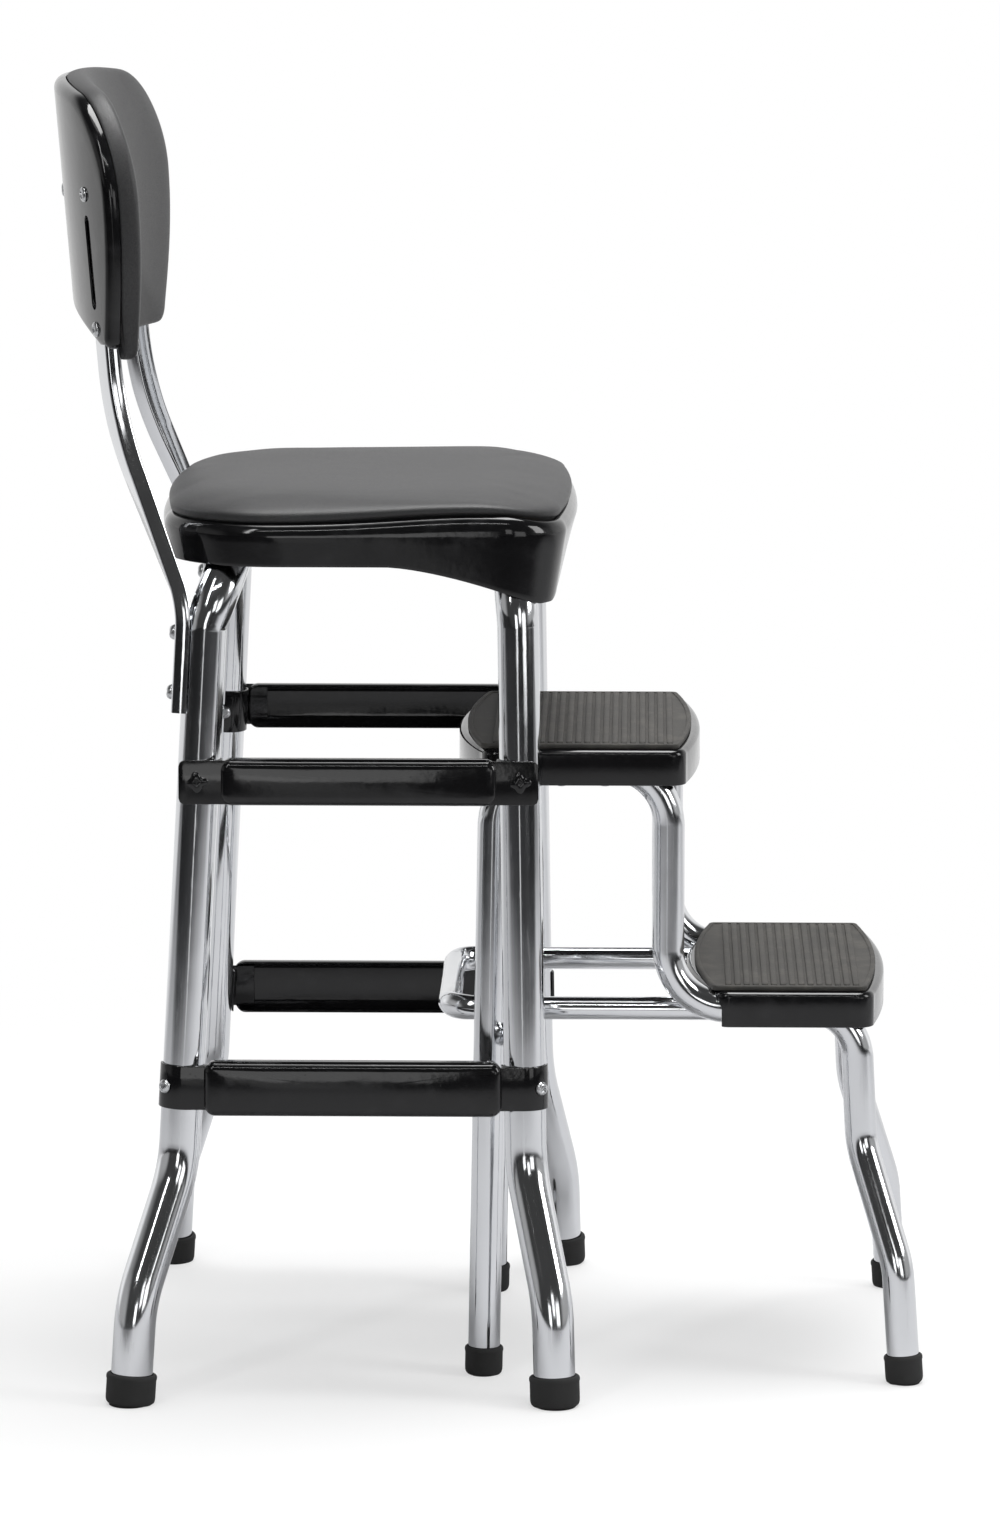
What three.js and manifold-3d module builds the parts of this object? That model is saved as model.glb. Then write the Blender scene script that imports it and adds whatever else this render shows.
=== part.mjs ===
// A counter chair with two steps that slide out from under its seat.
// Millimetres. X points forward, the way the steps come out, Y across the chair and Z up.
// Lengths along X are set out from the chair's front feet, and the finished group is moved
// so that the origin is on the floor, under the middle of the whole chair with its steps out.
import * as THREE from "three";
import { mergeVertices } from "three/addons/utils/BufferGeometryUtils.js";
import Module from "manifold-3d";

// Fits
const gap = 0.3; // between pieces that touch
const overrun = 4; // how far a cutter reaches past what it cuts

// Chair legs: two loops of tube, each going up one side, across under the seat and down
const legDiameter = 28.6;
const legWall = 1.4;
const footOutset = 98; // beyond the step frames, as are the other outsets here
const kneeLowHeight = 70;
const kneeLowOutset = 92.5;
const kneeHighHeight = 156;
const kneeHighOutset = 55.6;
const shoulderDrop = 63; // below the top of the seat pan
const shoulderOutset = 41.2;
const barOutset = 38;
const frontKneeLowSetback = 2;
const frontKneeHighSetback = 20.8;
const frontShoulderSetback = 26.6;
const frontBarSetback = 30;
const rearFootBehind = 15.5; // behind the seat's rear edge
const rearKneeLowBehind = 11;
const rearKneeHighAhead = 16.4; // ahead of the seat's rear edge
const rearShoulderAhead = 36.8;
const rearBarAhead = 54;
const kneeRadius = 90;
const shoulderRadius = 24;
const barCornerRadius = 43;

// Rubber foot caps
const capHeight = 21;
const capWall = 2.8;
const capFloor = 4.5;
const capEdge = 2.4;

// Side braces: pressed steel trays between the legs
const braceSheet = 1.5;
const braceHeight = 32;
const braceDepth = 12;
const upperBraceBulge = 2;
const lowerBraceBulge = 5;
const lowerBraceExtra = 3; // how far the lower trays reach past the brace height, above and below
const braceCorner = 8;
const braceRoll = 4;
const wrapInset = 1; // how much shorter the straps round the legs are, at each end
const upperBraceDrop = 169; // below the top of the seat pan
const lowerBraceHeight = 214;
const padHalfWidth = 12.5;
const dimpleRadius = 6.5;
const dimpleRise = 1.5;

// Cross bar between the front legs, under the guide rails of the steps
const crossBarDiameter = 16;
const crossBarWall = 1.5;

// Seat
const seatTop = 594; // upper face of the pan's plate
const seatFront = 12;
const seatDepth = 288;
const seatOutset = 59.5; // beyond the step frames
const seatRearCorner = 80;
const seatFrontCorner = 44;
const seatRearBow = 5;
const seatFrontBow = 6;
const panSheet = 1.4;
const apronDepth = 21;
const apronTaper = 2;
const frontTaper = 5; // how much more the apron leans in at the front
const apronShoulder = 9; // from the rim's crest down to the pan's widest line
const earDrop = 26; // how much deeper the apron is over the front legs
const earLength = 104;
const earFront = 12; // the apron is level again this far behind the front feet
const rimHeight = 8; // the rim's crest above the plate
const rimInset = 6.5;
const rimRise = 5.8; // how much higher the crest is along each side
const rimWidth = 12;
const seatBoardThickness = 8;
const seatBoardInset = 14;
const seatPadLow = 5; // above the rim's crest, where the cushion is widest
const seatPadCrown = 13;
const seatPadInset = 2.5;

// Backrest
const backWidth = 332; // measured round the curve, where it is widest
const backHeight = 180.5;
const backRise = 120.5; // from the top of the seat pan up to the shell's foot
const backBehind = 60.6; // behind the seat's rear edge
const backCurveRadius = 327;
const backLean = THREE.MathUtils.degToRad(4.6);
const backTopCorner = 57;
const backTopBow = 18;
const backWidest = 101.5; // above the shell's foot
const backTaperShare = 0.13;
const shellFootCorner = 8;
const shellFootArch = 21;
const shellArchSpread = 128;
const shellSheet = 1.2;
const shellFlange = 9;
const shellRoll = 7;
const slotWidth = 10;
const slotHeight = 64.5;
const slotFoot = 26.8;
const backBoardThickness = 4;
const backBoardInset = 13;
const backBoardCorner = 4;
const backPadFootCorner = 12;
const backPadTopOverhang = 3;
const backPadFootOverhang = 9.5;
const backPadSideOverhang = 1.5;
const backPadLip = 10;
const backPadLow = 7;
const backPadCrown = 18;

// Back supports: steel channels from the rear legs up into the backrest
const supportWidth = 24;
const supportDepth = 10.5;
const supportSheet = 1.3;
const supportCorner = 3;
const supportHalfSpread = 122;
const supportFootDrop = 123; // below the top of the seat pan
const supportBendDrop = 52;
const supportDrop = 52.5; // below the shell, where the upper bend is
const supportReach = 119.5; // up inside the shell
const notchClearance = 1.5;
const notchHeight = 16;
const supportLowRadius = 60;
const supportHighRadius = 220;

// Step unit: two bent side frames, a guide tube, two pans and their treads
const stepTube = 22.2;
const stepWall = 1.2;
const stepHalfSpread = 108.5;
const stepBendRadius = 41;
const stepFrontBendRadius = 36;
const stepKneeRadius = 60;
const stepRearFootSetback = 51;
const stepRearFootFlare = 12; // beyond the step frames, as are the next three
const stepRearLegSetback = 43.5;
const riserReach = 76.5;
const stepFrontReach = 206;
const stepKneeHighReach = 211;
const stepKneeHighFlare = 1.5;
const stepKneeHighHeight = 163;
const stepKneeLowReach = 236;
const stepKneeLowFlare = 26;
const stepKneeLowHeight = 82;
const stepFrontFootReach = 241.5;
const stepFrontFootFlare = 30.5;
const stepCapHeight = 20;
const stepCapWall = 2;
const upperTreadHeight = 440.5;
const lowerTreadHeight = 271.5;
const treadOverhang = 13.5; // beyond the centre of each step frame
const skirtDepth = 24.5;
const stepSheet = 1.2;
const treadCorner = 12;
const treadRoll = 4;
const treadRearBow = 18;
const treadFrontBow = 10;
const upperRearOverhang = 27;
const upperFrontOverhang = 22;
const lowerRearInset = 13; // the lower pan starts this far in front of the risers
const lowerFrontOverhang = 23;

// Rubber treads
const rubberMargin = 8;
const rubberBase = 2.2;
const rubberCorner = 5;
const rubberRearBow = 11;
const rubberFrontBow = 9;
const ribPitch = 6.3;
const ribWidth = 3.8;
const ribRise = 0.9;
const ribBorder = 7;

// Guide tube: a U of thin tube that runs back between the front legs
const guideDiameter = 16;
const guideWall = 1.2;
const guideHeight = 253.6;
const guideRearSetback = 75.8;
const guideFrontReach = 190;
const guideBendRadius = 20;

// Screws
const braceHead = 4.8;
const braceHeadRise = 3;
const supportHead = 5.2;
const supportHeadRise = 4;
const shellHead = 5.2;
const shellHeadRise = 2.2;
const panHead = 4.5;
const panHeadRise = 3;
const lowerPanHeadRise = 1.5; // flat enough to pass over the cross bar
const shankRadius = 2;
const braceShank = 9;
const supportShank = 16;
const supportScrewLow = 13; // above the support's foot
const supportScrewSpacing = 41;
const shellScrewLow = 13.5;
const shellScrewHigh = 105.5;
const shellScrewMiddle = 100.5;
const seatScrewHalfSpread = 80;
const upperScrewSpacing = 30;
const upperScrewReach = 32.5;
const lowerScrewReach = 123.6;

// How finely round things are made
const legSides = 12;
const legBoreSides = 6;
const stepSides = 10;
const stepBoreSides = 6;
const thinSides = 10;
const cutterSides = 14;
const headSides = 6;
const shankSides = 6;
const capSides = 10;
const bendStep = THREE.MathUtils.degToRad(23);

const footHalfSpread = stepHalfSpread + footOutset;
const kneeLowHalfSpread = stepHalfSpread + kneeLowOutset;
const kneeHighHalfSpread = stepHalfSpread + kneeHighOutset;
const shoulderHalfSpread = stepHalfSpread + shoulderOutset;
const barHalfSpread = stepHalfSpread + barOutset;
const seatHalfWidth = stepHalfSpread + seatOutset;
const seatRear = seatFront - seatDepth;
const shoulderHeight = seatTop - shoulderDrop;
const upperBraceHeight = seatTop - upperBraceDrop;
const supportFootHeight = seatTop - supportFootDrop;
const supportBendHeight = seatTop - supportBendDrop;
const legRadius = legDiameter / 2;
const stepRadius = stepTube / 2;
const treadHalfWidth = stepHalfSpread + treadOverhang;
const guideRadius = guideDiameter / 2;
const crossBarRadius = crossBarDiameter / 2;
const up = new THREE.Vector3(0, 0, 1);
const down = new THREE.Vector3(0, 0, -1);

const wasm = await Module();
wasm.setup();

// Solids and cuts

// A polygon's corner radius when its flats have to clear a circle of this radius.
function around(radius, sides) {
  return radius / Math.cos(Math.PI / sides);
}

// How far a polygon's flats are from its centre when its corners are at this radius.
function acrossFlats(radius, sides) {
  return radius * Math.cos(Math.PI / sides);
}

// Turns a closed geometry's faces outwards and leaves it with shared vertices.
function closed(geometry) {
  const bare = new THREE.BufferGeometry();
  bare.setAttribute("position", geometry.getAttribute("position").clone());
  if (geometry.index) bare.setIndex(geometry.index.clone());
  const merged = mergeVertices(bare, gap / 1000);
  const position = merged.getAttribute("position");
  const index = merged.index.array;
  const [a, b, c] = [new THREE.Vector3(), new THREE.Vector3(), new THREE.Vector3()];
  const faces = [];
  let volume = 0;
  for (let i = 0; i < index.length; i += 3) {
    const corners = [index[i], index[i + 1], index[i + 2]];
    if (new Set(corners).size < corners.length) continue;
    a.fromBufferAttribute(position, corners[0]);
    b.fromBufferAttribute(position, corners[1]);
    c.fromBufferAttribute(position, corners[2]);
    volume += a.dot(b.clone().cross(c));
    faces.push(corners);
  }
  const outward = faces.map((f) => (volume < 0 ? [f[0], f[2], f[1]] : f));
  merged.setIndex(outward.flat());
  return merged;
}

function toManifold(geometry) {
  const clean = closed(geometry);
  return new wasm.Manifold(
    new wasm.Mesh({
      numProp: 3,
      vertProperties: new Float32Array(clean.getAttribute("position").array),
      triVerts: new Uint32Array(clean.index.array),
    }),
  );
}

function fromManifold(solid) {
  const mesh = solid.getMesh();
  const geometry = new THREE.BufferGeometry();
  geometry.setAttribute("position", new THREE.BufferAttribute(mesh.vertProperties, 3));
  geometry.setIndex(new THREE.BufferAttribute(mesh.triVerts, 1));
  return geometry;
}

function join(geometries) {
  return fromManifold(geometries.map(toManifold).reduce((whole, piece) => whole.add(piece)));
}

function cut(geometry, cutters) {
  const solid = cutters.map(toManifold).reduce((rest, piece) => rest.subtract(piece), toManifold(geometry));
  return fromManifold(solid);
}

// Joins rings of equal count with quads. Each end is closed by a fan from its centre point,
// or by strips between matching points of the two halves where no centre is given.
function loft(rings, firstCentre, lastCentre) {
  const count = rings[0].length;
  const points = rings.flat();
  const index = [];
  for (let i = 0; i < count; i += 1) {
    const next = (i + 1) % count;
    for (let r = 0; r + 1 < rings.length; r += 1) {
      const low = r * count;
      const high = low + count;
      index.push(low + i, low + next, high + next, low + i, high + next, high + i);
    }
  }
  const close = (start, centre, flipped) => {
    const face = (a, b, c) => index.push(...(flipped ? [a, c, b] : [a, b, c]));
    if (centre) {
      points.push(centre);
      for (let i = 0; i < count; i += 1) face(points.length - 1, start + ((i + 1) % count), start + i);
      return;
    }
    const half = count / 2;
    const across = (i) => start + ((count - i) % count);
    for (let i = 0; i + 1 < half / 2; i += 1) {
      face(start + i, start + half - i, start + i + 1);
      face(start + i + 1, start + half - i, start + half - i - 1);
      face(across(i), across(i + 1), across(half - i));
      face(across(i + 1), across(half - i - 1), across(half - i));
    }
  };
  close(0, firstCentre, false);
  close((rings.length - 1) * count, lastCentre, true);
  const geometry = new THREE.BufferGeometry().setFromPoints(points);
  geometry.setIndex(index);
  return closed(geometry);
}

// A line of straights with rounded corners, with a station only where the tube bends.
class BentPath extends THREE.Curve {
  constructor(corners, radii) {
    super();
    this.stations = [];
    const ends = corners.length - 1;
    corners.forEach((corner, i) => {
      if (i === 0 || i === ends) {
        const other = corners[i === 0 ? 1 : ends - 1];
        const tangent = corner.clone().sub(other).normalize();
        this.stations.push({ point: corner.clone(), tangent: i === 0 ? tangent.negate() : tangent });
        return;
      }
      const into = corner.clone().sub(corners[i - 1]).normalize();
      const out = corners[i + 1].clone().sub(corner).normalize();
      const turn = into.angleTo(out);
      const radius = radii[i - 1];
      const reach = radius * Math.tan(turn / 2);
      const start = corner.clone().addScaledVector(into, -reach);
      const centreWay = out.clone().sub(into).normalize();
      const centre = corner.clone().addScaledVector(centreWay, radius / Math.cos(turn / 2));
      const spoke = start.clone().sub(centre).divideScalar(radius);
      const steps = Math.max(1, Math.ceil(turn / bendStep));
      for (let k = 0; k <= steps; k += 1) {
        const angle = (turn * k) / steps;
        const point = centre.clone().addScaledVector(spoke, radius * Math.cos(angle));
        point.addScaledVector(into, radius * Math.sin(angle));
        const tangent = spoke.clone().multiplyScalar(-Math.sin(angle));
        tangent.addScaledVector(into, Math.cos(angle));
        this.stations.push({ point, tangent });
      }
    });
  }

  get steps() {
    return this.stations.length - 1;
  }

  between(share, key) {
    const place = share * this.steps;
    const low = Math.min(Math.floor(place + Number.EPSILON * this.steps), this.steps);
    const high = Math.min(low + 1, this.steps);
    return this.stations[low][key].clone().lerp(this.stations[high][key], Math.max(0, place - low));
  }

  getPoint(share) {
    return this.between(share, "point");
  }

  getPointAt(share) {
    return this.between(share, "point");
  }

  getTangentAt(share) {
    return this.between(share, "tangent").normalize();
  }
}

function ringPoints(radius, sides) {
  return Array.from({ length: sides }, (_, i) => {
    const angle = ((i + 0.5) / sides) * 2 * Math.PI;
    return new THREE.Vector2(radius * Math.cos(angle), radius * Math.sin(angle));
  });
}

// A bent tube with open ends of its wall, or a solid rod where the wall is zero.
function bentTube(path, radius, wall, sides, boreSides) {
  const shape = new THREE.Shape(ringPoints(radius, sides));
  if (wall > 0) shape.holes.push(new THREE.Path(ringPoints(radius - wall, boreSides)));
  return closed(
    new THREE.ExtrudeGeometry(shape, { steps: path.steps, extrudePath: path, bevelEnabled: false }),
  );
}

// A rod between two points, used for cuts.
function rod(from, to, radius, sides = cutterSides) {
  const axis = to.clone().sub(from);
  const geometry = new THREE.CylinderGeometry(radius, radius, axis.length(), sides);
  geometry.rotateX(Math.PI / 2);
  geometry.applyQuaternion(new THREE.Quaternion().setFromUnitVectors(up, axis.clone().normalize()));
  const middle = from.clone().lerp(to, 0.5);
  return geometry.translate(middle.x, middle.y, middle.z);
}

function block(low, high) {
  const size = high.clone().sub(low);
  const middle = low.clone().lerp(high, 0.5);
  return new THREE.BoxGeometry(size.x, size.y, size.z).translate(middle.x, middle.y, middle.z);
}

// Outlines

// A rounded oblong seen from above, longer sides straight, ends bowed outwards.
// Returns its points in order with their outward directions.
function oblong({ rear, front, halfWidth, rearCorner, frontCorner, rearBow, frontBow, fine }) {
  const half = [];
  const frontFlat = halfWidth - frontCorner;
  const rearFlat = halfWidth - rearCorner;
  for (let i = 0; i < fine; i += 1) {
    const share = i / fine;
    half.push([front - frontBow * share * share, frontFlat * share]);
  }
  const corner = (x, y, radius, from) => {
    for (let i = 0; i <= fine; i += 1) {
      const angle = from + ((i / fine) * Math.PI) / 2;
      half.push([x + radius * Math.cos(angle), y + radius * Math.sin(angle)]);
    }
  };
  const frontCentre = front - frontBow - frontCorner;
  const rearCentre = rear + rearBow + rearCorner;
  corner(frontCentre, frontFlat, frontCorner, 0);
  for (let i = 1; i < fine; i += 1) {
    half.push([frontCentre + ((rearCentre - frontCentre) * i) / fine, halfWidth]);
  }
  corner(rearCentre, rearFlat, rearCorner, Math.PI / 2);
  for (let i = 1; i <= fine; i += 1) {
    const share = 1 - i / fine;
    half.push([rear + rearBow * share * share, rearFlat * share]);
  }
  return mirrored(half);
}

// Both halves of an outline from one half, each point with its outward direction.
function mirrored(half) {
  const other = half.slice(1, -1).reverse();
  const points = [...half, ...other.map(([x, y]) => [x, -y])].map(([x, y]) => new THREE.Vector2(x, y));
  return points.map((point, i) => {
    const before = points.at(i - 1);
    const after = points[(i + 1) % points.length];
    const along = after.clone().sub(before).normalize();
    return { point, outward: new THREE.Vector2(along.y, -along.x) };
  });
}

// One ring of an outline, drawn in by an inset and drawn towards the centre by a share.
// The inset and the level are each a length, or a function that gives one.
function ring(outline, centre, inset, level, share = 1) {
  const lengthOf = (given, ...where) => (typeof given === "function" ? given(...where) : given);
  return outline.map(({ point, outward }) => {
    const drawn = point.clone().addScaledVector(outward, -lengthOf(inset, point, outward));
    drawn.sub(centre).multiplyScalar(share).add(centre);
    return new THREE.Vector3(drawn.x, drawn.y, lengthOf(level, drawn, outward));
  });
}

// A tray pressed from sheet: a plate at height zero with a rolled edge and a skirt below it.
function tray({ outline, centre, sheet, roll, depth, rollShares = [0.3], inStrips = false }) {
  const outer = [
    ring(outline, centre, roll, 0),
    ...rollShares.map((share) => ring(outline, centre, roll * share, -roll * share)),
    ring(outline, centre, 0, -roll),
    ring(outline, centre, 0, -depth),
  ];
  const inner = [
    ring(outline, centre, sheet, -depth),
    ring(outline, centre, sheet, -roll),
    ...rollShares.map((share) => ring(outline, centre, roll * share + sheet, -roll * share - sheet)),
    ring(outline, centre, roll + sheet / 2, -sheet),
  ];
  if (inStrips) return loft([...outer, ...inner]);
  const top = new THREE.Vector3(centre.x, centre.y, 0);
  return loft([...outer, ...inner], top, top.clone().setZ(-sheet));
}

// The scene

const finishes = {
  chrome: { color: 0xd9dbdd, metalness: 1, roughness: 0.1 },
  enamel: { color: 0x0d0d0e, metalness: 0, roughness: 0.12 },
  vinyl: { color: 0x232325, metalness: 0, roughness: 0.55 },
  ribbedRubber: { color: 0x2f2d2a, metalness: 0, roughness: 0.85 },
  footRubber: { color: 0x18191a, metalness: 0, roughness: 0.7 },
  screwSteel: { color: 0xc9cbce, metalness: 1, roughness: 0.25 },
  wood: { color: 0x9b7a52, metalness: 0, roughness: 0.8 },
};

const whole = new THREE.Group();
const chair = new THREE.Group();
const stepUnit = new THREE.Group();
whole.add(chair, stepUnit);

function addPiece(group, name, geometry, finish) {
  const mesh = new THREE.Mesh(geometry, new THREE.MeshStandardMaterial(finishes[finish]));
  mesh.name = name;
  group.add(mesh);
  return mesh;
}

// Cuts a placed piece with solids given in the whole chair's own frame.
function cutInPlace(mesh, cutters) {
  mesh.updateWorldMatrix(true, false);
  const back = mesh.matrixWorld.clone().invert();
  mesh.geometry = cut(mesh.geometry, cutters.map((cutter) => cutter.clone().applyMatrix4(back)));
}

// A dome-headed screw whose head sits at a point and faces along a direction.
// The pieces that it holds are drilled for its shank.
function addScrew(group, name, seat, facing, head, headRise, shank, held) {
  const domeShare = 0.8;
  const cheekShare = 0.25;
  const profile = [
    [0, -shank],
    [shankRadius, -shank],
    [shankRadius, 0],
    [head, 0],
    [head * domeShare, headRise * (1 - cheekShare)],
    [0, headRise],
  ].map(([r, z]) => new THREE.Vector2(r, z));
  const geometry = new THREE.LatheGeometry(profile, headSides).rotateX(Math.PI / 2);
  const screw = addPiece(group, name, closed(geometry), "screwSteel");
  screw.position.copy(seat);
  screw.quaternion.setFromUnitVectors(up, facing);
  const hole = rod(
    seat.clone().addScaledVector(facing, gap),
    seat.clone().addScaledVector(facing, -shank - gap),
    around(shankRadius + gap, shankSides),
    shankSides,
  );
  held.forEach((mesh) => cutInPlace(mesh, [hole]));
  return screw;
}

// Chair legs

const barHeight = seatTop - panSheet - gap - legRadius;

function loopPoints(setbacks) {
  const { foot, kneeLow, kneeHigh, shoulder, bar } = setbacks;
  return {
    foot: new THREE.Vector3(-foot, footHalfSpread, 0),
    kneeLow: new THREE.Vector3(-kneeLow, kneeLowHalfSpread, kneeLowHeight),
    kneeHigh: new THREE.Vector3(-kneeHigh, kneeHighHalfSpread, kneeHighHeight),
    shoulder: new THREE.Vector3(-shoulder, shoulderHalfSpread, shoulderHeight),
    bar: new THREE.Vector3(-bar, barHalfSpread, barHeight),
  };
}

const frontLoop = loopPoints({
  foot: 0,
  kneeLow: frontKneeLowSetback,
  kneeHigh: frontKneeHighSetback,
  shoulder: frontShoulderSetback,
  bar: frontBarSetback,
});
const rearLoop = loopPoints({
  foot: rearFootBehind - seatRear,
  kneeLow: rearKneeLowBehind - seatRear,
  kneeHigh: -rearKneeHighAhead - seatRear,
  shoulder: -rearShoulderAhead - seatRear,
  bar: -rearBarAhead - seatRear,
});

function onSide(point, side) {
  return new THREE.Vector3(point.x, point.y * side, point.z);
}

// The point where a tube starts, clear of the floor of its foot cap.
function tubeStart(foot, next) {
  const way = next.clone().sub(foot).normalize();
  return foot.clone().addScaledVector(way, capFloor);
}

function legPath(loop) {
  const half = [tubeStart(loop.foot, loop.kneeLow), loop.kneeLow, loop.kneeHigh, loop.shoulder, loop.bar];
  const radii = [kneeRadius, kneeRadius, shoulderRadius, barCornerRadius];
  const other = half.map((point) => onSide(point, -1)).reverse();
  return new BentPath([...half, ...other], [...radii, ...radii.slice().reverse()]);
}

// The straight part of a leg, on one side: its centre at a height, and its direction.
function legAt(loop, height, side) {
  const share = (height - kneeHighHeight) / (shoulderHeight - kneeHighHeight);
  return onSide(loop.kneeHigh.clone().lerp(loop.shoulder, share), side);
}

function legWay(loop, side) {
  return onSide(loop.shoulder, side).sub(onSide(loop.kneeHigh, side)).normalize();
}

// A direction turned square to an axis.
function squareTo(axis, direction) {
  return direction.clone().addScaledVector(axis, -axis.dot(direction)).normalize();
}

function addLoop(name, loop) {
  const tube = bentTube(legPath(loop), legRadius, legWall, legSides, legBoreSides);
  return addPiece(chair, name, tube, "chrome");
}

const frontLegs = addLoop("front_leg_loop", frontLoop);
const rearLegs = addLoop("rear_leg_loop", rearLoop);

// Foot caps stand along their tube and are cut level with the floor.
function addCap(group, name, foot, next, tubeRadius, wall, height) {
  const bore = around(tubeRadius + gap, capSides);
  const outer = around(tubeRadius + wall, capSides);
  const profile = [
    [0, -overrun],
    [outer - capEdge, -overrun],
    [outer - capEdge, 0],
    [outer, capEdge],
    [outer, height - capEdge / 2],
    [outer - capEdge / 2, height],
    [bore, height],
    [bore, capFloor - gap],
    [0, capFloor - gap],
  ].map(([r, z]) => new THREE.Vector2(r, z));
  const geometry = new THREE.LatheGeometry(profile, capSides).rotateX(Math.PI / 2);
  const cap = addPiece(group, name, closed(geometry), "footRubber");
  cap.position.copy(foot);
  cap.quaternion.setFromUnitVectors(up, next.clone().sub(foot).normalize());
  const reach = outer + overrun;
  const ground = block(
    new THREE.Vector3(foot.x - reach, foot.y - reach, -height),
    new THREE.Vector3(foot.x + reach, foot.y + reach, 0),
  );
  cutInPlace(cap, [ground]);
}

const sides = [
  { side: -1, word: "right" },
  { side: 1, word: "left" },
];

for (const { side, word } of sides) {
  for (const [end, loop] of [["front", frontLoop], ["rear", rearLoop]]) {
    const foot = onSide(loop.foot, side);
    addCap(chair, `${end}_${word}_foot_cap`, foot, onSide(loop.kneeLow, side), legRadius, capWall, capHeight);
  }
}

// Side braces

const boreShare = 0.9;
const dimpleTopShare = 0.6;
const wrapHalfHeight = braceHeight / 2 - wrapInset;
const lean = Math.atan((kneeHighHalfSpread - shoulderHalfSpread) / (shoulderHeight - kneeHighHeight));

// Part of a ring round a leg, from one angle to another, as tall as the brace. It reaches
// in past the leg's own surface, and the brace is bored out for the leg afterwards.
function legWrap(from, to) {
  const shape = new THREE.Shape();
  shape.absarc(0, 0, legRadius + gap + braceSheet, from, to, false);
  shape.lineTo(legRadius * Math.cos(to) * boreShare, legRadius * Math.sin(to) * boreShare);
  shape.absarc(0, 0, legRadius * boreShare, to, from, true);
  shape.closePath();
  const depth = 2 * wrapHalfHeight;
  const geometry = new THREE.ExtrudeGeometry(shape, { depth, bevelEnabled: false, curveSegments: 5 });
  return geometry.translate(0, 0, -wrapHalfHeight);
}

// A brace in its own frame: x to the front leg, y outwards and z up along the leg.
function braceGeometry(span, wraps, padded, rearWay, frontWay) {
  const face = legRadius + gap + braceSheet;
  const start = legRadius + gap + braceSheet / 2;
  const outline = oblong({
    rear: start,
    front: span - start,
    halfWidth: braceHeight / 2 + (padded ? 0 : lowerBraceExtra),
    rearCorner: braceCorner,
    frontCorner: braceCorner,
    rearBow: 0,
    frontBow: 0,
    fine: 2,
  });
  const centre = new THREE.Vector2(span / 2, 0);
  const sizes = { sheet: braceSheet, roll: braceRoll, depth: braceDepth, rollShares: [] };
  const pressed = tray({ outline, centre, ...sizes });
  const bulge = padded ? upperBraceBulge : lowerBraceBulge;
  pressed.rotateX(-Math.PI / 2).translate(0, face + bulge, 0);
  const pieces = [pressed];
  const legs = [
    { x: 0, way: rearWay, ahead: 1 },
    { x: span, way: frontWay, ahead: -1 },
  ];
  const bores = [];
  for (const { x, way, ahead } of legs) {
    const turn = new THREE.Quaternion().setFromUnitVectors(up, way);
    const wrap = legWrap(...wraps);
    if (ahead < 0) wrap.scale(-1, 1, 1);
    pieces.push(closed(wrap.applyQuaternion(turn).translate(x, 0, 0)));
    const far = start + braceRoll + braceCorner;
    const near = padded ? -padHalfWidth : 0;
    const low = new THREE.Vector3(x + (ahead > 0 ? near : -far), legRadius + gap, -wrapHalfHeight);
    const high = new THREE.Vector3(x + (ahead > 0 ? far : -near), face, wrapHalfHeight);
    pieces.push(block(low, high));
    if (padded) {
      const dimpleTop = dimpleRadius * dimpleTopShare;
      const dimple = new THREE.CylinderGeometry(dimpleTop, dimpleRadius, dimpleRise + gap, thinSides);
      pieces.push(dimple.translate(x, face + (dimpleRise - gap) / 2, 0));
    }
    const end = way.clone().multiplyScalar(braceHeight);
    const from = new THREE.Vector3(x, 0, 0).sub(end);
    bores.push(rod(from, from.clone().addScaledVector(end, 2), around(legRadius + gap, cutterSides)));
  }
  return cut(join(pieces), bores);
}

function addBrace(name, height, side, wraps, padded) {
  const rear = legAt(rearLoop, height, side);
  const front = legAt(frontLoop, height, side);
  const frame = new THREE.Quaternion().setFromAxisAngle(new THREE.Vector3(1, 0, 0), side * lean);
  const flip = new THREE.Vector3(1, side, 1);
  const inFrame = (way) => way.applyQuaternion(frame.clone().invert()).multiply(flip);
  const rearWay = inFrame(legWay(rearLoop, side));
  const frontWay = inFrame(legWay(frontLoop, side));
  const geometry = braceGeometry(front.x - rear.x, wraps, padded, rearWay, frontWay);
  geometry.scale(1, side, 1);
  const brace = addPiece(chair, name, closed(geometry), "enamel");
  brace.position.copy(rear);
  brace.quaternion.copy(frame);
  return brace;
}

// Round the facing side of each leg to its inner side, or round its outer side to its far side.
const inwardWrap = [-Math.PI / 2, Math.PI / 2];
const outwardWrap = [0, Math.PI + THREE.MathUtils.degToRad(9)];

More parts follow.
